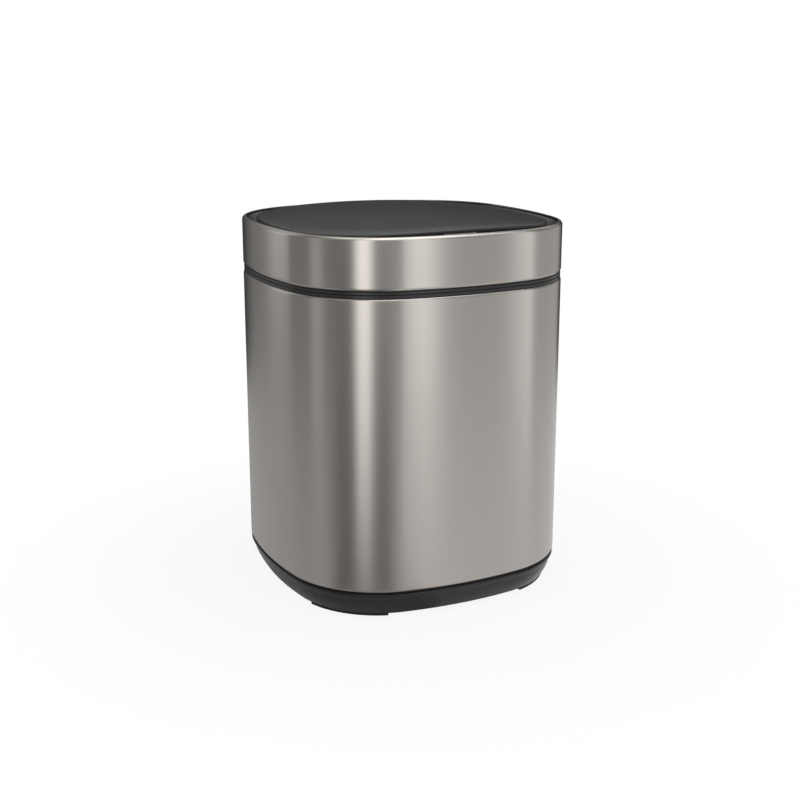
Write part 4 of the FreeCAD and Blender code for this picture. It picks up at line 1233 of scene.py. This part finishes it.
@dataclass
class Studio:
    """A pale round table in a light tent, with one overhead lamp, and the camera."""

    table_radius: float = 0.46
    table_sides: int = 128
    table_colour: Colour = (0.82, 0.82, 0.82, 1.0)
    table_white: Pair = (0.9, 1.0)
    table_fade: Pair = (0.12, 0.34)
    tent_radius: float = 1.4
    tent_sides: int = 96
    tent_low: float = -0.9
    tent_top: float = 1.5
    cloth_start: float = 0.03
    cloth_lift: float = 0.0005
    lamp_place: tuple[float, float, float] = (0.25, -0.2, 1.4)
    lamp_aim: tuple[float, float, float] = (0.0, 0.0, 0.12)
    lamp_size: float = 1.1
    lamp_power: float = 7.0
    ambient: float = 0.45
    azimuth: float = -25.20
    elevation: float = 14.79
    distance: float = 0.96196
    focal_pixels: float = 1310.18
    aim_height: float = 0.124
    side_step: float = 0.00024

    def build(self) -> None:
        """Builds the table, the tent, the lamp, the world and the camera."""
        self.soft_box = self._soft_box_group()
        self._table()
        self._wall()
        self._cloth()
        self._roof()
        self._lamp()
        self._world()
        self._camera()

    def _seen_white(self, nodes: Nodes) -> Socket:
        """One for what the camera, metal and glass see, and zero for the light that falls on things.

        Args:
            nodes: The tree to add to.

        Returns:
            The share.
        """
        path = nodes.add("ShaderNodeLightPath").outputs
        seen = nodes.math("MAXIMUM", path["Is Camera Ray"], path["Is Glossy Ray"])
        return nodes.math("MAXIMUM", seen, path["Is Transmission Ray"])

    def _table(self) -> Object:
        """The pale table top, which reads white and keeps a soft shadow.

        Returns:
            The table top.
        """
        form = bmesh.new()
        bmesh.ops.create_circle(form, cap_ends=True, segments=self.table_sides, radius=self.table_radius)
        mesh = mesh_of(form, "table")
        material, nodes = new_material("table_white")
        away = nodes.vector("LENGTH", nodes.place())["Value"]
        lit = nodes.out("ShaderNodeBsdfDiffuse", {"Color": self.table_colour})
        white = nodes.out("ShaderNodeEmission", {"Color": WHITE, "Strength": 1.0})
        share = nodes.spread(away, *self.table_fade, *self.table_white, smooth=True)
        share = nodes.math("MULTIPLY", share, self._seen_white(nodes))
        nodes.end_surface(nodes.out("ShaderNodeMixShader", {0: share, 1: lit, 2: white}))
        mesh.materials.append(material)
        return new_object("table", mesh)

    def _soft_box_group(self) -> NodeTree:
        """A panel of light on the tent, soft at its edges.

        Returns:
            The group.
        """
        inputs = {
            "Outward": (1.0, 0.0, 0.0), "Level": 0.0, "Facing": (1.0, 0.0, 0.0), "Half width": 0.1,
            "Softness": 0.1, "Low": 0.0, "High": 1.0, "Fade": 0.3, "Strength": 1.0,
        }
        nodes, given = new_group("soft_box", inputs, ["Light"])
        facing = nodes.vector("DOT_PRODUCT", given["Outward"], given["Facing"])["Value"]
        angle = nodes.math("ARCCOSINE", nodes.math("MINIMUM", facing, 1.0))
        edge = nodes.math("ADD", given["Half width"], given["Softness"])
        across = nodes.spread(angle, edge, given["Half width"], smooth=True)
        start = nodes.math("SUBTRACT", given["Low"], given["Fade"])
        stop = nodes.math("ADD", given["High"], given["Fade"])
        above = nodes.spread(given["Level"], start, given["Low"], smooth=True)
        below = nodes.spread(given["Level"], stop, given["High"], smooth=True)
        light = nodes.math("MULTIPLY", across, nodes.math("MULTIPLY", above, below))
        nodes.add("NodeGroupOutput", {"Light": nodes.math("MULTIPLY", light, given["Strength"])})
        return nodes.tree

    def _glow(self, part: TentPart) -> Material:
        """Adds up a tent part's even level and its panels.

        Args:
            part: The tent part.

        Returns:
            The glowing material.
        """
        material, nodes = new_material(part.name)
        place = nodes.place()
        flat = nodes.vector("MULTIPLY", place, (1.0, 1.0, 0.0))[0]
        outward = nodes.vector("NORMALIZE", flat)[0]
        reach = nodes.vector("LENGTH", flat)["Value"]
        height = nodes.add("ShaderNodeSeparateXYZ", {0: place}).outputs["Z"]
        light: Any = part.level
        for box in part.boxes:
            bearing = math.radians(box.bearing)
            panel = nodes.group(self.soft_box, {
                "Outward": outward, "Level": height if part.upright else reach,
                "Facing": (math.cos(bearing), math.sin(bearing), 0.0),
                "Half width": math.radians(box.half_width), "Softness": math.radians(box.softness),
                "Low": box.low, "High": box.high, "Fade": box.fade, "Strength": box.strength,
            })
            light = nodes.math("ADD", light, panel["Light"])
        glow = nodes.out("ShaderNodeEmission", {"Color": light, "Strength": 1.0})
        clear = nodes.out("ShaderNodeBsdfTransparent")
        share = nodes.spread(reach, *part.thin, smooth=True)
        nodes.end_surface(nodes.out("ShaderNodeMixShader", {0: share, 1: glow, 2: clear}))
        return material

    def _tent_object(self, part: TentPart, form: BMesh, height: float) -> Object:
        """Makes a tent part that is out of the camera's way and casts no shadow.

        Args:
            part: The tent part.
            form: Its shape, round the middle.
            height: How far the shape is lifted.

        Returns:
            The tent part.
        """
        bmesh.ops.translate(form, verts=form.verts, vec=(0.0, 0.0, height))
        mesh = mesh_of(form, part.name)
        mesh.materials.append(self._glow(part))
        tent = new_object(part.name, mesh)
        tent.visible_camera = False
        tent.visible_shadow = False
        tent.visible_diffuse = part.upright
        return tent

    def _wall(self) -> Object:
        """The tent's wall, with its panels at their heights.

        Returns:
            The wall.
        """
        form = bmesh.new()
        rise = self.tent_top - self.tent_low
        wide = self.tent_radius
        bmesh.ops.create_cone(
            form, cap_ends=False, segments=self.tent_sides, radius1=wide, radius2=wide, depth=rise,
        )
        return self._tent_object(TENT_WALL, form, self.tent_low + rise / 2)

    def _cloth(self) -> Object:
        """A glowing sheet round the bin's foot that only the steel mirrors, thinning out towards its rim: a
        painted floor reflection, with painted shade under the bin.

        Returns:
            The glowing sheet.
        """
        form = bmesh.new()
        for radius in (self.cloth_start, PAINTED_FLOOR_REFLECTION.thin[1]):
            bmesh.ops.create_circle(form, segments=self.tent_sides, radius=radius)
        bmesh.ops.bridge_loops(form, edges=form.edges)
        return self._tent_object(PAINTED_FLOOR_REFLECTION, form, self.cloth_lift)

    def _roof(self) -> Object:
        """The tent's roof with one round panel overhead.

        Returns:
            The roof.
        """
        form = bmesh.new()
        bmesh.ops.create_circle(form, cap_ends=True, segments=self.tent_sides, radius=self.tent_radius)
        return self._tent_object(TENT_ROOF, form, self.tent_top)

    def _lamp(self) -> None:
        """Hangs one large soft lamp over the table."""
        lamp = bpy.data.lights.new("overhead", "AREA")
        lamp.size = self.lamp_size
        lamp.energy = self.lamp_power
        thing = new_object("overhead", lamp)
        thing.location = self.lamp_place
        aim = Vector(self.lamp_aim) - Vector(self.lamp_place)
        thing.rotation_euler = aim.to_track_quat("-Z", "Y").to_euler()

    def _world(self) -> None:
        """Makes the world white for what is seen, with an even ambient light."""
        world = bpy.data.worlds.new("studio")
        world.use_nodes = True
        nodes = Nodes(world.node_tree)
        level = nodes.spread(self._seen_white(nodes), 0.0, 1.0, low=self.ambient)
        back = nodes.out("ShaderNodeBackground", {"Color": WHITE, "Strength": level})
        nodes.add("ShaderNodeOutputWorld", {"Surface": back})
        bpy.context.scene.world = world

    def _camera(self) -> None:
        """Sets the camera where the photograph was taken from."""
        azimuth = math.radians(self.azimuth)
        elevation = math.radians(self.elevation)
        flat = math.cos(elevation)
        back = Vector((math.sin(azimuth) * flat, -math.cos(azimuth) * flat, math.sin(elevation)))
        right = Vector((math.cos(azimuth), math.sin(azimuth), 0.0))
        data = bpy.data.cameras.new("camera")
        data.sensor_width = SENSOR_WIDTH
        data.lens = self.focal_pixels * SENSOR_WIDTH / PHOTO_WIDTH
        camera = new_object("camera", data)
        camera.location = Vector((0.0, 0.0, self.aim_height)) + back * self.distance + right * self.side_step
        camera.rotation_euler = (-back).to_track_quat("-Z", "Y").to_euler()
        bpy.context.scene.camera = camera


def main() -> None:
    """Builds the studio and the bin's sub-assemblies in order."""
    logging.basicConfig(level=logging.INFO, format="%(name)s: %(message)s")
    bpy.context.scene.view_settings.view_transform = "Standard"
    Studio().build()
    shop = Workshop()
    for assembly in (Bin(), Bucket(), LidRing(), Lid()):
        assembly.dress(shop)


if __name__ == "__main__":
    main()
